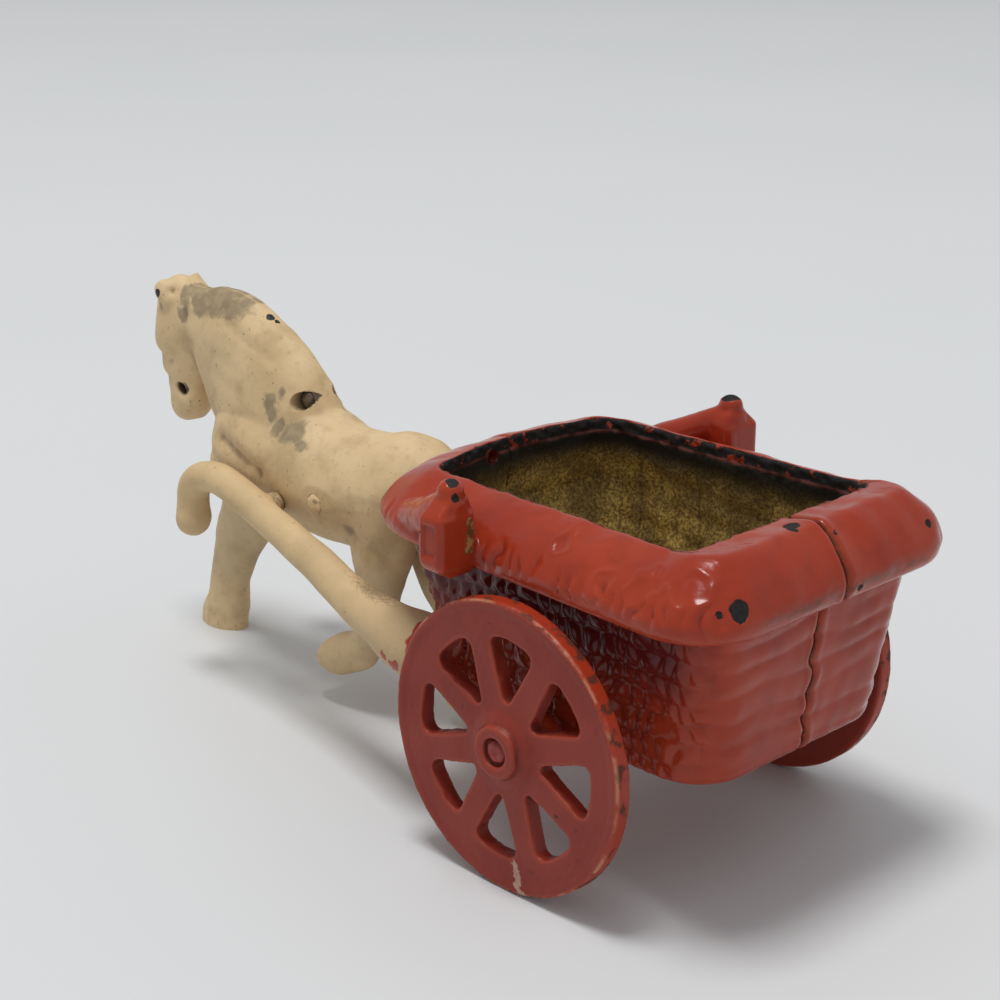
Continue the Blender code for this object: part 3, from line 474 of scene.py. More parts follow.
for side, hand in ((1, "left"), (-1, "right")):
    profile = [
        (HUB_INNER, AXLE_HOLE - 0.4), (HUB_INNER, HUB_RADIUS * 0.8), (HUB_INNER + 0.6, HUB_RADIUS * 0.88),
        (WHEEL_INNER, HUB_RADIUS + 0.6), (WHEEL_INNER, WHEEL_RADIUS - 1.0),
        (WHEEL_INNER + 0.3, WHEEL_RADIUS), (WHEEL_OUTER - 0.4, WHEEL_RADIUS),
        (WHEEL_OUTER, WHEEL_RADIUS - 0.4),
        (WHEEL_OUTER, WHEEL_RADIUS - 1.8), (WHEEL_OUTER - 0.25, WHEEL_RADIUS - 2.8),
        (WHEEL_OUTER - 0.25, HUB_RADIUS + 2.6), (WHEEL_OUTER + 0.5, HUB_RADIUS + 1.0),
        (WHEEL_OUTER + 1.1, HUB_RADIUS - 0.1), (HUB_OUTER - 0.5, HUB_RADIUS - 0.2),
        (HUB_OUTER, HUB_RADIUS - 0.8), (HUB_OUTER, HUB_RECESS + 0.5), (HUB_OUTER - 0.2, HUB_RECESS),
        (HUB_OUTER - HUB_RECESS_DEPTH, HUB_RECESS), (HUB_OUTER - HUB_RECESS_DEPTH, AXLE_HOLE - 0.4),
    ]
    wheel = cast("cast_wheel_" + hand, [turned(profile, 0.0, WHEEL_RADIUS, side, 160, around=True)])
    outline = wheel_opening()
    openings = []
    for k in range(SPOKES):
        turn = Matrix.Rotation(radians(SPOKE_TURN) + pi * (2 * k + 1) / SPOKES, 2)
        spun = [turn @ p for p in outline]
        openings.append(closed([[(p[0], y, p[1] + WHEEL_RADIUS) for p in spun]
                                for y in (side * 40.0, side * 55.0)]))
    cut(wheel, openings)
    pour(wheel, WHEEL_GRAIN)
    skin = Skin(wheel)
    skin.soften(4)
    face = skin.facing()
    x, y, z = skin.points.T
    radius = np.hypot(x, z - WHEEL_RADIUS)
    walls = 1.0 - ease(np.abs(face[:, 1]), 0.3, 0.8)
    outside = ease(radius, WHEEL_RADIUS - 1.6, WHEEL_RADIUS - 0.4)
    height = 0.05 * skin.lumps(11.0, 11) + 0.015 * skin.lumps(2.6, 12)
    height = height + walls * (1.0 - outside) * 0.06 * skin.lumps(4.0, 13)
    height = height + 0.25 * bell(radius - 8.6, 2.0) * (face[:, 1] * side > 0.6)
    skin.raise_by(height)
    skin.keep_inside("wheel_" + hand)
    skin.mark_relief()
    skin.mark("tread", outside * (1.0 - ease(np.abs(face[:, 1]), 0.75, 0.95)))
    streak = bell(x + 4.4 - 0.3 * (z - 6.6), 1.3 + 0.22 * np.maximum(9.0 - z, 0.0))
    streak = streak * (1.0 - ease(z, 8.5, 12.0)) * (y * side > WHEEL_OUTER - 1.4) * (side > 0)
    skin.mark("scrape", streak * 0.68)
    skin.mark("edge", bell(radius - WHEEL_RADIUS + 0.30, 0.25) * (y * side > WHEEL_OUTER - 0.9))
    bore = ((HUB_INNER - 3.0, AXLE_HOLE), (HUB_OUTER + 3.0, AXLE_HOLE))
    cut(wheel, [turned(bore, 0.0, WHEEL_RADIUS, side)])
    finished(wheel, wheel_red, "wheel_" + hand, "wheel_iron", "wheel_" + hand)


# The axle.  A 4.4 mm steel rod through the tub's cast tube, whose two ends are hammered over in the
# hubs' recesses.  The ends were dipped with the wheels; the rest is dark, oiled and rusty.

AXLE_RADIUS = 2.2
AXLE_SEAT = HUB_OUTER - HUB_RECESS_DEPTH + 0.3
AXLE_HEAD = 2.85

axle_steel = Finish("axle_steel")
rust = axle_steel.patches(2.4, 4.0, 0.42, 0.62)
painted = axle_steel.marked("painted")
bare = axle_steel.tint(rust, (0.055, 0.047, 0.042), (0.115, 0.042, 0.018))
coat = axle_steel.stained((0.30, 0.030, 0.020), axle_steel.cloud(2.0, 2.0), 0.45, 0.65, (0.20, 0.018, 0.014))
axle_steel.look(base_color=axle_steel.tint(painted, bare, coat), metallic=(1.0 - painted) * 0.7,
                roughness=0.30 + rust * 0.3)
axle_steel.bumps(axle_steel.cloud(0.8, 3.0), 0.05)


def hammered_rod(name, dome, x, z, seat, shank, head, sides):
    """A rod across the toy, with the same dome at both ends: how far up, and its share of the head."""
    end = [(seat + up, head * out) for up, out in dome]
    rod = [(-seat + 0.01, shank), (seat - 0.01, shank)]
    return cast(name, [turned([(-y, radius) for y, radius in reversed(end)] + rod + end, x, z, 1, sides)])


dome = ((0.0, 1.0), (0.5, 0.93), (0.85, 0.78), (1.05, 0.58), (0.85, 0.40), (0.35, 0.20), (0.30, 0.0005))
axle = hammered_rod("peened_axle", dome, 0.0, WHEEL_RADIUS, AXLE_SEAT, AXLE_RADIUS, AXLE_HEAD, 64)
skin = Skin(axle)
x, y, z = skin.points.T
ends = ease(np.abs(y), AXLE_SEAT - 0.2, AXLE_SEAT + 0.2)
dent = 1.0 + ends * (0.035 * skin.lumps(3.0, 21) - 0.035)
skin.points[:, 0] *= dent
skin.points[:, 2] = WHEEL_RADIUS + (skin.points[:, 2] - WHEEL_RADIUS) * dent
skin.write()
skin.keep_inside("axle")
skin.mark("painted", ends)
finished(axle, axle_steel, "axle", "bare_steel", "axle")


# The two halves of the cart.  Each is one thin iron casting: half of the tub with its rolled rim, a
# lantern and a shaft.  The outside copies basket work.  They were dipped in glossy red enamel, the
# shafts painted over in cream, and the inside is bare and stained.

SEAM = 0.02
WALL = 3.0
FLOOR_Z = 32.9
TUB_HEIGHT = 39.2
LIP_Z = FLOOR_Z + TUB_HEIGHT
RIM_TOP_Z = LIP_Z + 15.2
TUB_SIDE = 34.3
RIM_FLATTENING = 1.35
RIM_REAR = 56.0
RIM_ROUND = 16.0
CART_GRAIN = 0.5
FRONT_HOLE_Y = 6.0
FRONT_HOLE_Z = RIM_TOP_Z - 4.4
FRONT_HOLE_RADIUS = 1.9
SLOT_X = 2.2  # the opening in each side wall
SLOT_Z = 54.0
SLOT_HALF_X = 5.0
SLOT_HALF_Z = 6.0
SLOT_CORNER = 3.0
TUBE_RADIUS = 4.2  # the cast tube that the axle lies in
TUBE_END = 39.3
LUG_RADIUS = 3.2  # the lug inside each shaft, for the cross pin
LUG_INNER = 15.2
PIN_HOLE = 1.8
RIVET_HOLE = 1.7
LANTERN_X = 17.4
LANTERN_OUTER = 55.6
KNOB_RADIUS = 3.2
KNOB_Y = LANTERN_OUTER - 7.0
KNOB_Z = RIM_TOP_Z + 4.0
PIN_X = 120.8
PIN_Z = 55.0


def level_outline(rear, side_rear, side_front, front, bow, rear_round, front_round):
    """Half of a level outline of the cart, from the middle of the back to the middle of the front."""
    points = [(-rear, (side_rear - rear_round) * k / 24) for k in range(24)]
    for k in range(20):
        angle = 0.5 * pi * k / 20
        points.append((-rear + rear_round * (1.0 - cos(angle)),
                       side_rear - rear_round * (1.0 - sin(angle))))
    corner = front - bow
    start = (-rear + rear_round, side_rear)
    end = (corner - front_round, side_front)
    for k in range(50):
        points.append((start[0] + (end[0] - start[0]) * k / 50, start[1] + (end[1] - start[1]) * k / 50))
    inner = side_front - front_round
    nose = front - bow * (inner / side_front) ** 2
    for k in range(20):
        t = k / 20
        points.append(((1 - t) ** 2 * end[0] + 2 * t * (1 - t) * corner + t ** 2 * nose,
                       (1 - t) ** 2 * side_front + 2 * t * (1 - t) * side_front + t ** 2 * inner))
    for k in range(25):
        y = inner * (1.0 - k / 24)
        points.append((front - bow * (y / side_front) ** 2, y))
    return points


def tub_outline(rise, inset):
    share = rise / TUB_HEIGHT
    side = TUB_SIDE + 2.1 * share - inset
    return level_outline(45.5 + 4.0 * share - inset, side, side, 37.5 + 14.5 * share - inset, 4.0,
                         15.0 - 7.0 * share - inset, max(9.0 - inset, WALL))


def wall_level(share, inset):
    """The wall's outline at a share of its height."""
    rise = TUB_HEIGHT * share
    return [(x, y, FLOOR_Z + rise) for x, y in tub_outline(rise, inset)]


def rim_outline(tuck):
    return level_outline(RIM_REAR - tuck, 47.0 - tuck, 43.4 - tuck, 64.8 - tuck, 10.5, RIM_ROUND, 17.0)


def rim_turn(turn):
    """The rolled rim's outline from its widest place, 0, up to its flat top, 1."""
    angle = 0.5 * pi * turn
    level = []
    for (wide_x, wide_y), (mouth_x, mouth_y) in zip(rim_outline(0.0), MOUTH):
        beside = min(max((wide_x + RIM_REAR) / RIM_ROUND, 0.0), 1.0)
        share = (0.55 + 0.45 * beside) * (1.0 - cos(angle) ** RIM_FLATTENING)
        level.append((wide_x + (mouth_x - wide_x) * share, wide_y + (mouth_y - wide_y) * share,
                      LIP_Z + 4.0 + (11.2 + 1.6 * (1.0 - beside)) * sin(angle) ** RIM_FLATTENING))
    return level


MOUTH = level_outline(38.4, 32.2, 30.4, 47.0, 5.0, 5.5, 5.5)


def tub_half():
    """Half of the tub with its rim, from the bottom up the outside and down the inside."""
    levels = []
    for share in (0.0, 0.15, 0.3, 0.5, 0.7, 0.85, 1.0):
        angle = 0.5 * pi * share
        outline = tub_outline(4.0, 4.0 * (1.0 - sin(angle)))
        levels.append([(x, y, FLOOR_Z + 4.0 * (1.0 - cos(angle))) for x, y in outline])
    levels += [wall_level(share, 0.0) for share in (0.25, 0.4, 0.55, 0.7, 0.85, 0.96)]
    for tuck, up in ((1.9, 0.0), (1.1, 0.7), (0.4, 2.2)):
        levels.append([(x, y, LIP_Z + up) for x, y in rim_outline(tuck)])
    levels += [rim_turn(k / 14) for k in range(15)]
    top_level = levels[-1]
    for down in (0.9, 4.4):
        levels.append([(x, y, z - down) for (x, y), (_, _, z) in zip(MOUTH, top_level)])
    levels += [wall_level(share, WALL) for share in (0.96, 0.75, 0.5, 0.3, 0.16)]
    levels.append([(x, y, FLOOR_Z + WALL) for x, y in tub_outline(WALL, WALL + 4.0)])
    made = bmesh.new()
    rows = [[made.verts.new(((x - AXLE_BACK) * MM, max(y, SEAM) * MM, z * MM)) for x, y, z in level]
            for level in levels]
    for lower, upper in zip(rows, rows[1:]):
        for k in range(len(lower) - 1):
            made.faces.new((lower[k], lower[k + 1], upper[k + 1], upper[k]))
    made.faces.new(rows[0])
    made.faces.new(rows[-1])
    made.faces.new([row[0] for row in rows] + [row[-1] for row in reversed(rows)])
    bmesh.ops.recalc_face_normals(made, faces=made.faces)
    return made


def smooth_line(stations, steps):
    """Stations on a smooth curve through the given ones."""
    line = []
    last = len(stations) - 1
    for k in range(last):
        four = [stations[max(k - 1, 0)], stations[k], stations[k + 1], stations[min(k + 2, last)]]
        for step in range(steps):
            t = step / steps
            line.append([0.5 * (2 * b + (c - a) * t + (2 * a - 5 * b + 4 * c - d) * t ** 2
                                + (3 * b - a - 3 * c + d) * t ** 3) for a, b, c, d in zip(*four)])
    return line + [list(stations[-1])]


def lantern():
    """The square lantern on the rim, with a tapered foot and a hipped roof."""
    base = RIM_TOP_Z - 12.8
    top_z = base + 13.0
    inner = LANTERN_OUTER - 12.0
    stations = ((base - 2.6, 2.1, inner, KNOB_Y + 2.0), (base, 3.7, inner, LANTERN_OUTER - 0.8),
                (base + 1.6, 3.9, inner, LANTERN_OUTER), (top_z - 1.0, 3.9, inner, LANTERN_OUTER),
                (top_z, 3.1, inner, LANTERN_OUTER - 0.8), (top_z + 2.2, 3.0, inner + 1.0, KNOB_Y + 3.6),
                (KNOB_Z, 2.4, KNOB_Y - 2.4, KNOB_Y + 2.4))
    rings = []
    for z, half, y_in, y_out in stations:
        c = min(half, (y_out - y_in) / 2.0) * 0.3
        rings.append([(LANTERN_X + x, y, z) for x, y in (
            (-half + c, y_in), (half - c, y_in), (half, y_in + c), (half, y_out - c),
            (half - c, y_out), (-half + c, y_out), (-half, y_out - c), (-half, y_in + c))])
    return closed(rings)


def lantern_shoulder():
    """The smooth shoulder that runs from the rim up to the lantern's knob."""
    stations = smooth_line((
        (-3.6, -6.0, 4.0, 2.4, 0.0), (-2.0, -4.4, 5.0, 3.4, 0.0), (2.0, -5.0, 5.4, 4.0, 1.2),
        (8.0, -7.6, 5.2, 4.6, 3.4), (15.0, -10.4, 4.6, 4.6, 6.0), (24.0, -12.6, 2.6, 3.0, 9.0)), 4)
    return closed([[(LANTERN_X + x, KNOB_Y - inward + wide * c, KNOB_Z + z + tall * s) for c, s in circle(28)]
                   for x, z, tall, wide, inward in stations])


def knob():
    """The ball on top of the lantern."""
    lifts = [pi * (k / 12 - 0.5) for k in range(1, 12)]
    return closed([[(LANTERN_X + KNOB_RADIUS * cos(lift) * c, KNOB_Y + KNOB_RADIUS * cos(lift) * s,
                     KNOB_Z + KNOB_RADIUS * sin(lift)) for c, s in circle(24)] for lift in lifts])


# The shaft's centre line from the tub's corner to its curled tip: x, y, z and radius
SHAFT_ROUTE = (
    (22.0, 30.5, 42.5, 5.2), (33.0, 32.5, 41.5, 7.6), (46.0, 33.1, 41.8, 8.4), (58.0, 32.3, 43.2, 6.65),
    (74.8, 29.3, 45.2, 5.3), (95.8, 25.3, 49.8, 4.7), (120.8, 21.8, 55.0, 4.5), (134.8, 21.2, 58.9, 4.5),
    (143.8, 21.2, 58.6, 4.5), (149.6, 21.2, 54.4, 4.5), (150.8, 21.2, 49.0, 4.5), (150.7, 21.2, 45.1, 5.0),
    (150.5, 21.2, 42.0, 4.1), (150.4, 21.2, 40.2, 1.75))


def shaft():
    line = smooth_line(SHAFT_ROUTE, 6)
    rings = []
    for k, (x, y, z, radius) in enumerate(line):
        before = Vector(line[max(k - 1, 0)][:3])
        along = (Vector(line[min(k + 1, len(line) - 1)][:3]) - before).normalized()
        level = along.cross(Vector((0.0, 1.0, 0.0))).normalized()
        lift = level.cross(along)
        rings.append([tuple(Vector((x, y, z)) + radius * (level * c + lift * s)) for c, s in circle(28)])
    return closed(rings)


# The cart's rivets: x and z, and which way its ears reach to the casting
CART_RIVETS = (("front", 55.0, 67.1, -8.0, 0.0), ("floor_front", 19.0, 29.3, 0.0, 5.0),
               ("floor_rear", -26.0, 29.3, 0.0, 5.0))


def ear_of_the_seam(x, z, reach_x, reach_z):
    """A cast ear beside the seam for one rivet."""
    toward = atan2(reach_z, reach_x)
    outline = [(x + 3.8 * cos(toward + pi * (0.5 + k / 16)),
                z + 3.8 * sin(toward + pi * (0.5 + k / 16))) for k in range(17)]
    outline += [(outline[-1][0] + reach_x, outline[-1][1] + reach_z),
                (outline[0][0] + reach_x, outline[0][1] + reach_z)]
    return closed([[(px, y, pz) for px, pz in outline] for y in (SEAM, SEAM + 4.0)])


def mirrored(shape, side):
    for vert in shape.verts:
        vert.co.y *= side
    bmesh.ops.recalc_face_normals(shape, faces=shape.faces)
    return shape


def basket(along, z, seed, skin):
    """Wicker in low relief: rows of short lobes, each row shifted by half a lobe."""
    z = z + 0.5 * skin.lumps(17.0, seed)
    along = along + 0.8 * skin.lumps(13.0, seed + 1)
    row = np.floor((z - 2.0) / 5.2)
    down = (z - 2.0) / 5.2 - row
    across = along / 4.4 + 0.5 * (row % 2)
    lobe = np.abs(np.sin(pi * across)) ** 1.1
    return lobe * np.sin(pi * down) ** 0.9


enamel = Finish("cart_enamel")
relief = enamel.marked("relief")
inside = enamel.marked("inside")
lip = enamel.marked("lip")
under = enamel.marked("under")
height_mm = enamel.axis("Z")
forward = enamel.axis("X")
broad = enamel.cloud(24.0, 3.0)
mid = enamel.cloud(6.0, 3.0)
fine = enamel.cloud(1.1, 3.0)
specks = enamel.cloud(1.9, 3.0)
red = enamel.stained((0.365, 0.040, 0.013), broad, 0.3, 0.7, (0.305, 0.031, 0.012))
red = enamel.stained(red, mid, 0.5, 0.75, (0.22, 0.026, 0.012), 0.3)
# Painted shade: the basket-work sides under the rolled rim are darkened to a deep maroon, most near the rim.
shade = under * (0.25 + enamel.ramp(height_mm, 40.0, 58.0) * 0.67)
red = enamel.tint(shade, red, (0.075, 0.006, 0.007))
# Painted shade: the red is darkened in the hollows.
red = enamel.stained(red, relief, -0.06, -0.4, (0.11, 0.010, 0.007), 0.55)
grime = enamel.marked("grime") * enamel.patches(2.2, 5.0, 0.36, 0.60)
red = enamel.tint(grime * 0.8, red, (0.085, 0.034, 0.014))
# Where the enamel has gone: x, y, z and radius, for the lantern's rubbed strip and the chips
STRIP = (
    (-53.6, 46.4, 84.6, 1.2), (-54.0, 46.4, 82.6, 1.4), (-53.8, 46.6, 80.4, 1.3), (-53.6, 46.8, 78.4, 1.1))
CART_CHIPS = (
    (-121.6, 35.4, 80.0, 2.5), (-119.6, 39.4, 79.4, 1.1), (-111.2, 6.3, 88.7, 1.9), (-113.0, 8.2, 88.2, 1.2),
    (-122.0, -4.1, 75.0, 1.2), (-119.8, -32.6, 81.5, 1.3), (-64.3, 42.9, 81.8, 0.9), (-82.5, 40.2, 85.0, 0.8),
    (-117.6, -2.0, 87.4, 1.1), (-50.2, 48.8, 93.6, 1.6), (-49.5, -48.6, 94.0, 2.5), (-51.8, 49.6, 91.0, 1.1),
    (-46.0, 55.6, 83.5, 0.9), (-20.0, 12.0, 85.6, 1.6), (-9.0, 26.0, 84.0, 1.3),
    (-70.0, -41.0, 83.0, 1.6), (-96.0, -40.4, 84.2, 1.1), (-30.0, -42.0, 78.0, 1.3), (-8.0, -22.0, 81.0, 1.5),
    (-101.0, 44.6, 73.6, 1.0), (-118.0, 20.0, 60.0, 0.8), (-60.0, 36.0, 40.0, 1.6),
    (-112.0, -20.0, 45.0, 1.2))
# Dents in the near side of the rim: x from the axle, z and reach
RIM_DENTS = ((-24.0, 80.4, 2.4), (-34.6, 81.2, 3.2), (-45.6, 83.4, 3.4), (-8.0, 83.5, 2.0))
chips = enamel.chips(CART_CHIPS, 1.2)
edge_wear = enamel.ramp(relief + (specks - 0.5) * 0.55, 0.60, 0.70)
iron = enamel.stained((0.006, 0.006, 0.006), fine, 0.35, 0.65, (0.017, 0.014, 0.012))
brass = enamel.stained((0.10, 0.055, 0.020), specks, 0.4, 0.6, (0.33, 0.20, 0.07))
rubbed = enamel.chips(STRIP, 0.8)
red = enamel.tint(rubbed * 0.9, red, brass)
lip_worn = lip * enamel.patches(3.2, 5.0, 0.34, 0.42)
bare = chips | edge_wear * 0.9 | lip_worn
outside = enamel.tint(bare, red, iron)
stain = enamel.patches(9.0, 5.0, 0.40, 0.62)
olive = enamel.stained((0.22, 0.14, 0.036), enamel.cloud(0.7, 6.0), 0.36, 0.66, (0.64, 0.43, 0.115))
olive = enamel.tint(stain * 0.6, olive, (0.075, 0.046, 0.018))
# Painted shade: the bare inside is darkened in its hollows.
olive = enamel.stained(olive, relief, -0.04, -0.3, (0.040, 0.026, 0.012), 0.6)
# Painted shadow of the rolled rim: the inside goes nearly black near the top.
olive = enamel.stained(olive, height_mm, 73.0, 82.0, (0.014, 0.011, 0.007))
edge_x = forward + (enamel.cloud(5.0, 3.0) - 0.5) * 6.0
flaked = enamel.chips(((-17.8, 40.5, 40.2, 1.2), (-21.0, 40.0, 38.6, 1.9)), 1.4)
cream_share = enamel.ramp(edge_x, -25.4, -24.6) * enamel.marked("shaft") * (1.0 - flaked)
cream = enamel.stained((0.64, 0.465, 0.25), enamel.cloud(12.0, 4.0), 0.3, 0.75, (0.54, 0.385, 0.205))
cream = enamel.stained(cream, forward, 10.0, -20.0, (0.43, 0.30, 0.17), 0.5)
# Painted shade on the shafts: darkened on their inner and lower sides just behind the horse, and on the lug
# by the cross pin.
shaft_shade = enamel.ramp(enamel.marked("shaft_shade") + (enamel.cloud(0.8, 6.0) - 0.5) * 1.6, 0.30, 1.1)
cream = enamel.tint(shaft_shade * 0.75, cream, (0.17, 0.115, 0.055))
cream = enamel.stained(cream, enamel.cloud(0.9, 2.0), 0.68, 0.73, (0.24, 0.17, 0.10), 0.6)
# Painted shade: the cream is darkened in the hollows.
cream = enamel.stained(cream, relief, -0.05, -0.3, (0.32, 0.225, 0.13), 0.7)
outside = enamel.tint(cream_share, outside, cream)
matt = inside | cream_share * 0.75 | bare * 0.9
enamel.look(
    base_color=enamel.tint(inside, outside, olive),
    roughness=0.16 + broad * 0.08 + matt * 0.55, specular_ior_level=0.30)
grit = inside * enamel.cloud(0.7, 4.0) * 2.2
enamel.bumps(fine * 0.35 + mid * 0.8 - bare * 1.4 - specks * matt * 0.8 + grit, 0.11)

for side, hand in ((1, "left"), (-1, "right")):
    tub = cast("tub", [tub_half()])
    slot_ring = []
    for quarter in range(4):
        cx = SLOT_X + (SLOT_HALF_X - SLOT_CORNER) * (1 if quarter in (0, 3) else -1)
        cz = SLOT_Z + (SLOT_HALF_Z - SLOT_CORNER) * (1 if quarter in (0, 1) else -1)
        slot_ring += [(cx + SLOT_CORNER * cos(0.5 * pi * (quarter + k / 6)),
                       cz + SLOT_CORNER * sin(0.5 * pi * (quarter + k / 6))) for k in range(7)]
    holes = [closed([[(px, y, pz) for px, pz in slot_ring] for y in (25.3, 43.3)])]
    if side > 0:
        holes.append(closed([[(x, FRONT_HOLE_Y + FRONT_HOLE_RADIUS * c, FRONT_HOLE_Z + FRONT_HOLE_RADIUS * s)
                              for c, s in circle(24)] for x in (35.0, 67.8)]))
    cut(tub, holes)
    body = bmesh.new()
    body.from_mesh(tub.data)
    bpy.data.objects.remove(tub)
    shapes = [body, lantern(), lantern_shoulder(), knob(), shaft(),
              turned(((SEAM, TUBE_RADIUS), (TUBE_END, TUBE_RADIUS)), 0.0, WHEEL_RADIUS),
              turned(((LUG_INNER, LUG_RADIUS), (LUG_INNER + 6.0, LUG_RADIUS)), PIN_X, PIN_Z)]
    shapes += [ear_of_the_seam(*place) for _, *place in CART_RIVETS]
    half = cast("cart_casting_" + hand, [mirrored(shape, side) for shape in shapes])
    pour(half, CART_GRAIN)
    skin = Skin(half)
    skin.soften(4)
    face = skin.facing()
    x, y, z = skin.points.T
    y = y * side
    out_y = face[:, 1] * side
    off_shaft = np.min([np.sqrt((x - rx) ** 2 + (y - ry) ** 2 + (z - rz) ** 2) - radius
                        for rx, ry, rz, radius in smooth_line(SHAFT_ROUTE, 6)], axis=0)
    on_shaft = (1.0 - ease(off_shaft, 0.4, 1.3)) * ease(x, 30.0, 36.0)
    lug = np.hypot(x - PIN_X, z - PIN_Z) < 3.6
    on_shaft = np.where(lug * (y < 21.0) * (y > 15.0), 1.0, on_shaft)
    on_lantern = (ease(y, 46.8, 47.6) * ease(x, 11.0, 13.0) * (1.0 - ease(x, 22.0, 24.0)))
    inward = np.where(z > FLOOR_Z + 1.5, 1.0, 0.0) * (1.0 - on_shaft)
    to_middle = -(face[:, 0] * (x - 2.0) / 48.0 + out_y * y / 34.0)
    within = (x > -48.6) & (x < 50.0) & (y < 35.0)
    is_inside = np.where(within, ease(to_middle, 0.15, 0.45), 0.0) * inward
    is_floor = within * (z < 48.0) * (z > FLOOR_Z + 1.0) * ease(face[:, 2], 0.3, 0.6)
    is_inside = np.maximum(is_inside, is_floor)
    above = ease(z, RIM_TOP_Z - 3.9, RIM_TOP_Z - 2.9)
    is_lip = is_inside * above
    is_inside = is_inside * (1.0 - above)
    is_outside = 1.0 - is_inside
    wall_side = ease(out_y, 0.35, 0.75)
    wall_rear = ease(-face[:, 0], 0.35, 0.75)
    tub_wall = (1.0 - ease(z, LIP_Z - 2.0, LIP_Z - 0.5)) * is_outside * (1.0 - on_shaft)
    tub_wall *= (y < 37.5) * ease(z, 31.0, 35.0)
    weave = basket(x, z, 31, skin) - 0.55
    ribs = np.abs(np.sin(pi * (z + 0.6 * skin.lumps(22.0, 35)) / 6.2)) - 0.6
    ribs = ribs * (1.0 + 0.35 * skin.lumps(20.0, 36)) + 0.10 * skin.lumps(6.0, 37)
    height = tub_wall * (wall_side * 0.85 * weave + wall_rear * 0.36 * ribs)
    rim_side = ease(z, LIP_Z + 0.5, LIP_Z + 3.0) * is_outside * (1.0 - is_lip) * (1.0 - on_lantern)
    band = ease(out_y, 0.25, 0.6) * np.exp(-((z - LIP_Z - 5.2 + 0.8 * skin.lumps(11.0, 42)) / 3.2) ** 4)
    dents = np.abs(np.sin(pi * (x + 0.7 * skin.lumps(9.0, 41)) / 3.9))
    height -= rim_side * band * 0.48 * (1.0 - dents) * (1.0 + 0.5 * skin.lumps(12.0, 38))
    for dent_x, dent_z, reach in RIM_DENTS:
        away = np.hypot(x - dent_x, (z - dent_z) * 1.2) * (1.0 + 0.15 * skin.lumps(5.0, 39)) / reach
        ring = 0.20 * bell(away - 1.25, 0.25) - 0.32 * (1.0 - ease(away, 0.4, 1.15))
        height += ring * (y > 33.0) * (side > 0)
    height += rim_side * (0.14 * skin.lumps(12.0, 44) + 0.02 * skin.lumps(3.5, 45))
    height += on_shaft * (0.14 * skin.lumps(15.0, 46) + 0.02 * skin.lumps(3.5, 47))
    height += is_inside * (0.20 * skin.lumps(9.0, 48) + 0.06 * skin.lumps(2.2, 49))
    for line_x in (13.7, 33.0, -12.0):
        height -= is_inside * 0.35 * bell(x - line_x - 0.3 * skin.lumps(14.0, 50), 0.9)
    height += is_lip * 0.16 * skin.lumps(3.0, 51)
    panel = (ease(y, LANTERN_OUTER - 0.9, LANTERN_OUTER - 0.4)
             * (1.0 - ease(np.abs(x - LANTERN_X), 1.7, 2.3))
             * ease(z, 77.2, 78.0) * (1.0 - ease(z, 84.6, 85.4)))
    height -= 0.7 * panel
    for cx, cy, cz, radius in CART_CHIPS:
        away = np.linalg.norm(skin.points - (cx + AXLE_BACK, cy, cz), axis=1)
        height -= 0.16 * (1.0 - ease(away, radius * 0.85, radius * 1.1))
    rear = 1.0 - ease(x, -44.0, -36.0)
    height -= rear * is_outside * (0.32 + 0.15 * skin.lumps(7.0, 40)) * bell(y, 0.8)
    height += rear * is_outside * 0.16 * bell(y - 2.0, 0.9)
    skin.raise_by(height)
    wander = (1.3 * bell(z - 57.5, 3.2) + 0.5 * np.sin(z / 3.1) + 0.35 * np.sin(z / 1.3 + 1.0))
    near_seam = np.clip(1.0 - np.abs(skin.points[:, 1]) / 9.0, 0.0, 1.0)
    skin.points[:, 1] += wander * rear * near_seam * (1.0 - ease(z, LIP_Z, LIP_Z + 3.0) * 0.7)
    skin.write()
    skin.keep_inside("cart_half_left", "cart_half_right")
    skin.mark_relief()
    skin.mark("inside", is_inside)
    skin.mark("lip", is_lip)
    skin.mark("shaft", on_shaft)
    seam_line = rear * bell(y, 1.1) * is_outside
    rim_edge = rear * is_outside * bell(z - LIP_Z - 3.2, 1.1) * (1.0 - ease(y, 22.0, 34.0))
    skin.mark("grime", np.maximum(seam_line, 0.75 * rim_edge))
    # Where the painted shade under the rim falls: the basket-work sides, more of it higher up and less at the
    # back.
    skin.mark("under", tub_wall * wall_side * (0.2 + 0.8 * ease(z, 48.0, 64.0)) * (1.0 - 0.7 * rear))
    # Where the painted shade falls on the shafts: their inner and lower sides behind the horse, and the pin's
    # lug.
    inner_shaft_shade = bell(x - 64.0, 12.0) * (1.0 - ease(out_y, -0.1, 0.75))
    skin.mark("shaft_shade", on_shaft * np.maximum(inner_shaft_shade, 0.8 * lug * (y < 18.5)))
    bores = [turned(((-1.0, AXLE_HOLE), (45.0, AXLE_HOLE)), 0.0, WHEEL_RADIUS, side, 48),
             turned(((-1.0, PIN_HOLE), (24.5, PIN_HOLE)), PIN_X, PIN_Z, side, 24)]
    bores += [turned(((-1.0, RIVET_HOLE), (8.2, RIVET_HOLE)), rx, rz, side, 24)
              for _, rx, rz, _, _ in CART_RIVETS]
    cut(half, bores)
    finished(half, enamel, "horse_and_cart", "cart_iron", "cart_half_" + hand)


# The rivets and the cross pin.  Soft steel, their ends hammered into low domes: three through the
# ears of the cart, painted over in red, two through the horse, in cream, and the pin between the shafts.

RIVET_SHANK = 1.4
RIVET_RISE = 1.3
RIVET_HEAD = 2.8
EAR_SEAT = 4.45  # half of what the cart's rivets hold


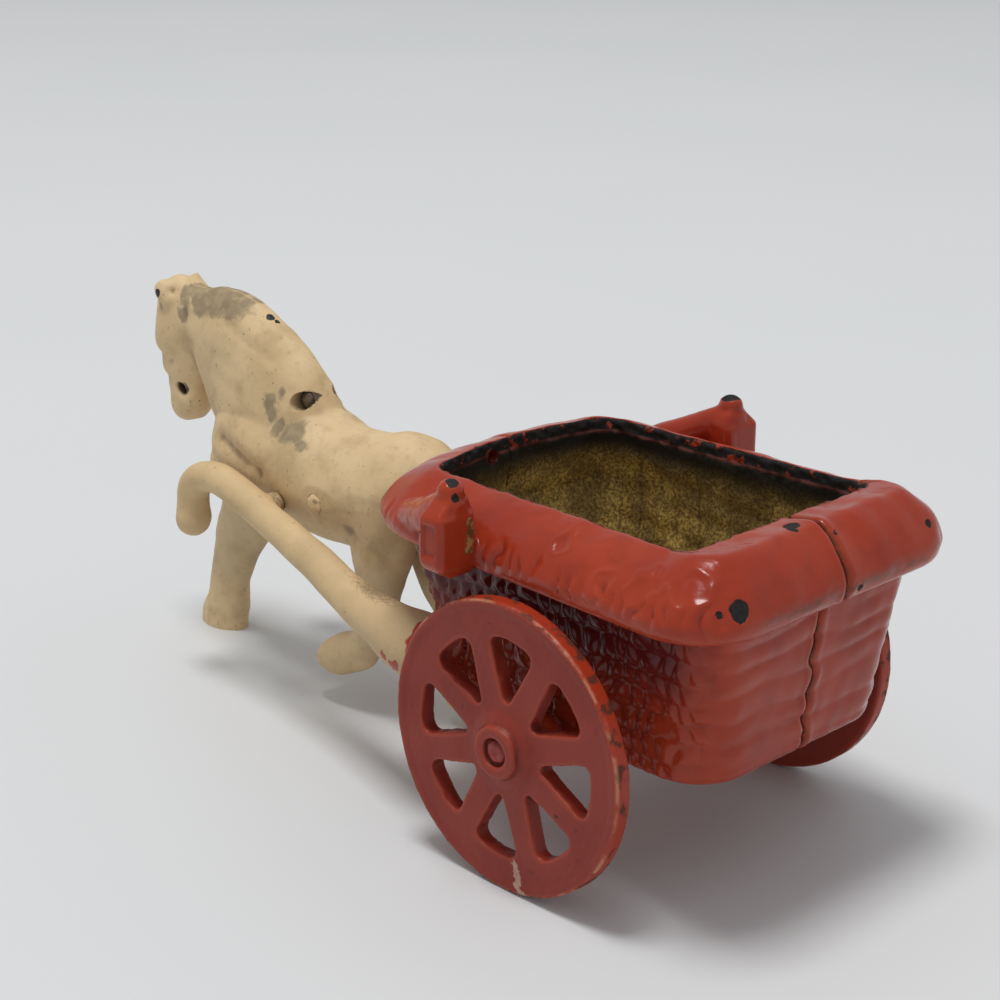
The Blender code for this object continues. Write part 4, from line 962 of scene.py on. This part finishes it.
def hammered(name, x, z, seat, head, finish, slot, node, seed):
    """A rivet with a low dome at each end."""
    dome = ((0.0, 1.0), (0.35, 0.97), (0.62, 0.82), (0.88, 0.55), (1.0, 0.25), (1.0, 0.0005))
    risen = [(RIVET_RISE * up, out) for up, out in dome]
    rivet = hammered_rod(name, risen, x, z, seat, RIVET_SHANK, head, 40)
    skin = Skin(rivet)
    ends = ease(np.abs(skin.points[:, 1]), seat + 0.1, seat + 0.5)
    dent = 1.0 + ends * 0.05 * (skin.lumps(2.4, seed) - 1.2)
    skin.points[:, 0] = x + (skin.points[:, 0] - x) * dent
    skin.points[:, 2] = z + (skin.points[:, 2] - z) * dent
    skin.write()
    skin.keep_inside(node)
    finished(rivet, finish, "horse_and_cart", slot, node)


red_rivet = Finish("red_rivet_paint")
worn = red_rivet.patches(1.6, 4.0, 0.46, 0.58)
red_rivet.look(base_color=red_rivet.tint(worn, (0.27, 0.030, 0.012), (0.045, 0.020, 0.012)),
               roughness=0.35 + worn * 0.3)
red_rivet.bumps(red_rivet.cloud(0.9, 3.0), 0.08)
for number, (label, x, z, _, _) in enumerate(CART_RIVETS):
    hammered("cart_rivet_of_" + label, x, z, EAR_SEAT, RIVET_HEAD, red_rivet, "cart_rivet_steel",
             "cart_rivet_" + label, seed=60 + number)

WITHERS_X = 120.3
WITHERS_Z = 82.0
# The horse's rivets: x, z, seat, head radius and the radius of the recess or clearance
HORSE_RIVETS = (("withers", WITHERS_X, WITHERS_Z, 3.7, 2.3, 2.6),
                ("flank", 105.4, 58.6, 14.77, RIVET_HEAD, 2.86))
# The rivet at the withers sits deep in its recess and is coloured dark brown as painted shade; the one at the
# flank keeps its cream.
RIVET_COATS = {"withers": ((0.13, 0.088, 0.05), (0.05, 0.034, 0.02)),
               "flank": ((0.66, 0.48, 0.26), (0.30, 0.215, 0.12))}
for number, (label, x, z, seat, head_radius, _) in enumerate(HORSE_RIVETS):
    cream_rivet = Finish(label + "_rivet_paint")
    worn = cream_rivet.patches(1.5, 4.0, 0.48, 0.66)
    cream_rivet.look(base_color=cream_rivet.tint(worn, *RIVET_COATS[label]), roughness=0.7,
                     specular_ior_level=0.3)
    cream_rivet.bumps(cream_rivet.cloud(0.7, 3.0), 0.06)
    hammered("horse_rivet_of_" + label, x, z, seat, head_radius, cream_rivet, "horse_rivet_steel",
             "horse_rivet_" + label, seed=70 + number)

pin_steel = Finish("pin_steel")
rust = pin_steel.patches(1.8, 4.0, 0.42, 0.62)
pin_steel.look(base_color=pin_steel.tint(rust, (0.075, 0.065, 0.055), (0.13, 0.055, 0.024)),
               metallic=0.8 - rust * 0.5, roughness=0.35 + rust * 0.35)
pin_steel.bumps(pin_steel.cloud(0.8, 3.0), 0.04)
profile = ((-24.2, 1.2), (-23.9, 1.5), (23.9, 1.5), (24.2, 1.2))
pin = cast("drawn_cross_pin", [turned(profile, PIN_X, PIN_Z, 1, 32)])
finished(pin, pin_steel, "horse_and_cart", "bare_steel", "horse_cross_pin")


# The two halves of the horse.  Thick shells cast in one with their legs and ear, drawn together by
# the two rivets, under a thick matt cream paint that has worn to grey on the mane and the withers.

HORSE_GRAIN = 0.5
MOUTH_HOLE_X = 176.4
MOUTH_HOLE_Z = 73.7
HORSE_SEAM = 0.01
# Stations: x, z, half depth and half width, from the pin; a leg's z is a share of the pin's height
TORSO = (
    (-52.0, 16.0, 2.0, 2.0), (-50.6, 15.2, 7.0, 6.4), (-47.0, 13.3, 11.4, 10.4), (-40.0, 10.7, 14.8, 13.6),
    (-28.0, 6.8, 15.8, 14.8), (-14.0, 5.4, 16.6, 15.0), (0.0, 7.0, 18.0, 15.0), (14.0, 9.2, 17.4, 14.6),
    (26.4, 9.3, 14.8, 13.0), (34.6, 7.0, 10.8, 10.0), (38.6, 5.4, 5.8, 6.0), (40.0, 4.8, 2.0, 2.0))
NECK = (
    (9.0, 9.4, 20.4, 12.8), (16.2, 16.6, 23.2, 11.6), (24.8, 25.2, 22.2, 10.0), (34.0, 32.8, 19.0, 8.8),
    (41.8, 38.0, 14.8, 7.8), (47.6, 41.0, 9.8, 6.6), (51.0, 42.2, 5.0, 4.0))
HEAD = (
    (53.6, 48.6, 3.0, 3.0), (56.0, 45.4, 9.0, 5.6), (57.6, 40.0, 11.4, 6.6), (58.2, 32.4, 11.0, 6.6),
    (58.2, 25.4, 9.4, 6.0), (58.0, 20.0, 7.4, 5.4), (57.4, 15.6, 6.6, 5.4), (56.6, 11.4, 5.6, 4.8),
    (55.8, 9.0, 2.8, 2.4))
EARS = {
    1: ((58.0, 43.0, 3.4, 2.8), (61.2, 46.4, 3.4, 2.6), (63.4, 48.8, 2.2, 1.8)),
    -1: ((55.0, 44.0, 3.4, 2.6), (57.6, 48.4, 2.6, 2.0), (58.6, 51.4, 1.0, 1.0))}
POLL = ((33.0, 42.0, 3.0, 3.0), (38.0, 42.2, 5.4, 5.4), (46.0, 42.8, 6.2, 6.2), (54.0, 43.4, 5.6, 6.0),
        (59.0, 43.0, 3.0, 3.4))
LEGS = {
    1: (((15.0, 1.15, 8.6, 6.2), (24.0, 1.10, 8.2, 6.2), (30.6, 1.06, 7.0, 5.6), (35.4, 1.03, 5.6, 5.0),
         (38.2, 1.01, 2.6, 2.8)),
        ((36.6, 1.00, 3.4, 3.2), (33.4, 0.96, 5.2, 4.8), (27.0, 0.91, 4.6, 4.4), (20.6, 0.88, 4.8, 4.4),
         (15.0, 0.86, 5.2, 4.8), (11.4, 0.85, 3.4, 3.6)),
        ((-34.0, 1.14, 13.6, 7.4), (-33.0, 0.92, 11.4, 6.6), (-32.4, 0.73, 8.0, 5.4), (-31.6, 0.58, 5.8, 4.6),
         (-29.0, 0.45, 5.2, 4.4), (-25.6, 0.34, 5.6, 4.4), (-20.0, 0.28, 6.0, 4.8), (-13.0, 0.225, 5.2, 4.8),
         (-8.4, 0.19, 2.6, 3.2))),
    -1: (((24.0, 1.10, 12.0, 6.4), (30.4, 0.90, 12.6, 6.0), (37.6, 0.72, 11.6, 5.6), (43.9, 0.51, 8.6, 5.0),
          (47.2, 0.35, 7.4, 4.8), (49.0, 0.236, 7.0, 4.8), (49.9, 0.127, 7.8, 5.0), (51.3, 0.05, 8.6, 5.3),
          (52.4, -0.05, 9.0, 5.4)),
         ((-36.0, 1.12, 13.0, 7.4), (-38.6, 0.90, 11.0, 6.6), (-42.0, 0.71, 8.4, 5.4),
          (-46.4, 0.57, 6.0, 4.6), (-50.6, 0.43, 4.9, 4.2), (-52.6, 0.31, 5.0, 4.4),
          (-51.8, 0.19, 5.8, 4.8), (-50.4, 0.08, 7.0, 5.0)))}
LEG_SIDES = {1: (4.8, 4.8, 7.0), -1: (4.8, 7.0)}  # each leg's distance from the middle


def limb(stations, side_y, leg=False):
    """A body lofted along a bent line, from stations of x, z, half depth and half width from the pin."""
    line = smooth_line(stations, 5)
    rings = []
    for k, (x, z, depth, width) in enumerate(line):
        before, after = line[max(k - 1, 0)], line[min(k + 1, len(line) - 1)]
        up = PIN_Z if leg else 1.0
        along = Vector((after[0] - before[0], 0.0, (after[1] - before[1]) * up)).normalized()
        across = Vector((-along.z, 0.0, along.x))
        middle = Vector((PIN_X + x, side_y, z * PIN_Z if leg else PIN_Z + z))
        rings.append([tuple(middle + across * depth * c + Vector((0.0, width * s, 0.0)))
                      for c, s in circle(40, 0.5)])
    return closed(rings)


# Strokes of the modeller's tool: x and z from the pin at both ends, how far from the middle, radius, height
STROKES = (
    (30.0, 42.5, 12.0, 36.0, 6.8, 1.8, -0.45),  # lower edge of the mane
    (29.0, 11.5, 9.0, 7.0, 13.0, 3.0, -1.7),  # between breast and foreleg
    (36.0, 4.0, 33.0, 2.0, 10.0, 4.6, 0.7),  # the lifted knee
    (13.0, 5.0, 12.0, 6.0, 14.5, 2.2, 0.5),
    (-19.0, 1.0, -42.0, -6.5, 13.0, 2.6, -0.7),  # fold of the flank
    (-15.4, 3.6, -15.4, 3.6, 14.5, 4.4, 0.8),  # round the flank's rivet
    (-17.5, -0.5, -12.0, -1.0, 14.5, 2.4, -0.6),
    (-0.5, 27.0, -0.5, 27.0, 5.0, 4.6, 0.7),  # round the rivet of the withers
    (3.4, 23.5, 3.0, 22.5, 8.5, 2.0, 0.5),
    (1.0, 18.5, -1.0, 16.5, 11.5, 2.2, -0.45),
    (-10.0, 27.0, -9.0, 20.0, 5.0, 3.2, -0.7),  # behind the withers
    (-36.0, 8.0, -32.0, 10.0, 12.0, 8.0, 0.6),
    (49.0, 34.0, 48.0, 22.0, 6.0, 2.4, -0.5),  # behind the cheek
    (62.5, 36.0, 62.5, 33.0, 5.5, 4.0, 0.9),  # brow
    (61.5, 42.6, 65.0, 42.6, 5.0, 2.0, -0.8),
    (52.5, 44.5, 51.0, 42.0, 5.5, 1.8, -0.8),  # the eye
    (57.6, 47.6, 57.6, 47.0, 4.8, 1.2, -0.8),  # the ear's hollow
    (58.5, 27.0, 66.0, 27.6, 4.6, 1.8, -1.4),  # nostril and mouth
    (59.5, 20.8, 64.0, 21.0, 4.2, 1.4, -1.0),
    (56.5, 15.0, 57.0, 14.0, 4.0, 4.0, 0.8),  # chin
    (43.4, -44.5, 43.0, -45.0, 4.8, 2.8, 1.0),  # fetlock, pastern and hoof of the planted leg
    (44.5, -37.0, 44.0, -34.0, 4.8, 3.0, -0.8),
    (57.5, -44.5, 56.5, -45.5, 4.8, 2.4, -0.9),
    (60.0, -53.0, 58.0, -53.0, 4.8, 3.4, 0.9))

hide = Finish("horse_paint")
relief = hide.marked("relief")
bald = hide.marked("bald")
broad = hide.cloud(16.0, 4.0)
fine = hide.cloud(1.3, 4.0)
speck = hide.cloud(1.2, 2.0)
paint = hide.stained((0.68, 0.50, 0.28), broad, 0.3, 0.72, (0.60, 0.43, 0.23))
paint = hide.stained(paint, hide.cloud(8.0, 6.0), 0.50, 0.72, (0.46, 0.325, 0.165), 0.55)
paint = hide.stained(paint, hide.cloud(2.6, 8.0), 0.52, 0.70, (0.47, 0.335, 0.175), 0.35)
tall = hide.axis("Z")
# Painted shade on the legs: darkened between 12 and 48 mm up, below the body and the shafts.
leg_shade = hide.ramp(tall, 48.0, 38.0) * hide.ramp(tall, 12.0, 22.0)
paint = hide.tint(leg_shade * 0.4, paint, (0.38, 0.285, 0.175))
# Painted shade: the cream is darkened to brown in the hollows.
paint = hide.stained(paint, relief, -0.05, -0.55, (0.26, 0.175, 0.095), 0.8)
# Painted highlight: the cream is lightened on the raised places.
paint = hide.stained(paint, relief, 0.25, 0.9, (0.76, 0.60, 0.37), 0.2)
paint = hide.stained(paint, speck, 0.68, 0.73, (0.22, 0.155, 0.09), 0.6)
grey = hide.stained((0.20, 0.155, 0.095), hide.cloud(3.0, 6.0), 0.35, 0.7, (0.31, 0.24, 0.145))
torn = bald + (hide.cloud(4.5, 8.0) - 0.5) * 1.7
rubbed = hide.ramp(torn, 0.40, 0.80)
paint = hide.tint(rubbed * 0.8, paint, grey)
# Painted shade: nearly black inside the mouth's hole and in the recess at the withers.
paint = hide.tint(hide.marked("deep"), paint, (0.035, 0.024, 0.015))
# Where the cream has worn to grey: x and z from the pin, and the patch's reach
BALD = (
    (9.0, 26.0, 3.8), (7.0, 22.5, 3.6), (4.0, 19.6, 3.2), (0.0, 19.0, 3.4), (-4.0, 19.5, 3.8),
    (-6.5, 17.0, 3.4), (5.0, 28.5, 2.4), (51.5, 42.0, 3.0), (40.0, 5.0, 3.0))
HORSE_CHIPS = (
    (115.4, 7.0, 101.3, 1.1), (72.4, 0.6, 100.8, 1.3), (70.6, 0.0, 99.4, 1.1), (109.6, 5.4, 103.0, 0.6),
    (108.0, -4.6, 80.0, 1.2), (30.0, -13.0, 66.0, 1.4), (106.0, 3.0, 3.0, 1.0))
chips = hide.chips(HORSE_CHIPS, 0.7)
paint = hide.tint(chips, paint, (0.016, 0.015, 0.014))
hide.look(base_color=paint, roughness=0.62 + rubbed * 0.2 - chips * 0.2, specular_ior_level=0.35)
hide.bumps(fine * 0.7 + hide.cloud(4.0, 4.0) - rubbed * 0.8 - chips * 1.5, 0.08)

for side, hand in ((1, "left"), (-1, "right")):
    shapes = [limb(stations, 0.0) for stations in (TORSO, NECK, HEAD, POLL)] + [limb(EARS[side], side * 4.4)]
    shapes += [limb(leg, side * leg_y, leg=True) for leg, leg_y in zip(LEGS[side], LEG_SIDES[side])]
    half = cast("horse_casting_" + hand, shapes)
    pour(half, HORSE_GRAIN)
    cut(half, [closed([[(MOUTH_HOLE_X + 1.6 * c - 0.95 * s, y, MOUTH_HOLE_Z + 1.6 * c + 0.95 * s)
                        for c, s in circle(24)] for y in (side * 1.0, side * 30.0)])])
    pour(half, HORSE_GRAIN)
    skin = Skin(half)
    skin.soften(9)
    hx, hz = skin.points[:, 0] - PIN_X, skin.points[:, 2] - PIN_Z
    nape = bell(hx - 48.5, 4.5) * ease(hz, 22.0, 34.0)
    skin.points += nape[:, None] * (skin.averaged(skin.points, 110) - skin.points)
    skin.write()
    x, y, z = skin.points.T
    height = 0.15 * skin.lumps(13.0, 81) + 0.04 * skin.lumps(5.5, 82)
    for sx, sz, ex, ez, sy, radius, rise in STROKES:
        length = max((ex - sx) ** 2 + (ez - sz) ** 2, 0.01)
        along = np.clip(((hx - sx) * (ex - sx) + (hz - sz) * (ez - sz)) / length, 0.0, 1.0)
        away = np.sqrt((hx - sx - along * (ex - sx)) ** 2 + (hz - sz - along * (ez - sz)) ** 2
                       + (y - side * sy) ** 2)
        height = height + rise * bell(away, radius)
    skin.raise_by(height)
    skin.keep_inside("horse_half_left", "horse_half_right")
    skin.mark_relief(90)
    mane = ease(hz, 40.0, 46.0) * ease(hx, 20.0, 27.0) * (1.0 - ease(hx, 53.0, 56.0))
    bald = 0.85 * mane
    for bx, bz, reach in BALD:
        bald = np.maximum(bald, 0.95 * bell(np.hypot(hx - bx, hz - bz), reach))
    skin.mark("bald", bald)
    # Nothing stays below the soles or past the middle
    low_y, high_y = sorted((-side * 60.0, side * HORSE_SEAM))
    cutters = [block((-60.0, -60.0, -20.0), (260.0, 60.0, 0.0)),
               block((-60.0, low_y, -30.0), (260.0, high_y, 160.0))]
    for _, rx, rz, seat, _, clear in HORSE_RIVETS:
        profile = ((-3.0, RIVET_HOLE), (seat - 0.3, RIVET_HOLE), (seat - 0.3, clear), (30.0, clear))
        cutters.append(turned(profile, rx, rz, side, 40))
    cutters.append(turned(((-3.0, PIN_HOLE), (30.0, PIN_HOLE)), PIN_X, PIN_Z, side, 32))
    cut(half, cutters)
    skin = Skin(half)
    x, y, z = skin.points.T
    # Where the painted shade in the holes goes.
    deep = (np.hypot(x - MOUTH_HOLE_X, z - MOUTH_HOLE_Z) < 2.6) * (1.0 - ease(np.abs(y), 4.0, 5.0))
    deep = np.maximum(deep, (np.hypot(x - WITHERS_X, z - WITHERS_Z) < 2.7) * (np.abs(y) < 5.6))
    skin.mark("deep", 0.9 * deep)
    finished(half, hide, "horse_and_cart", "horse_iron", "horse_half_" + hand)
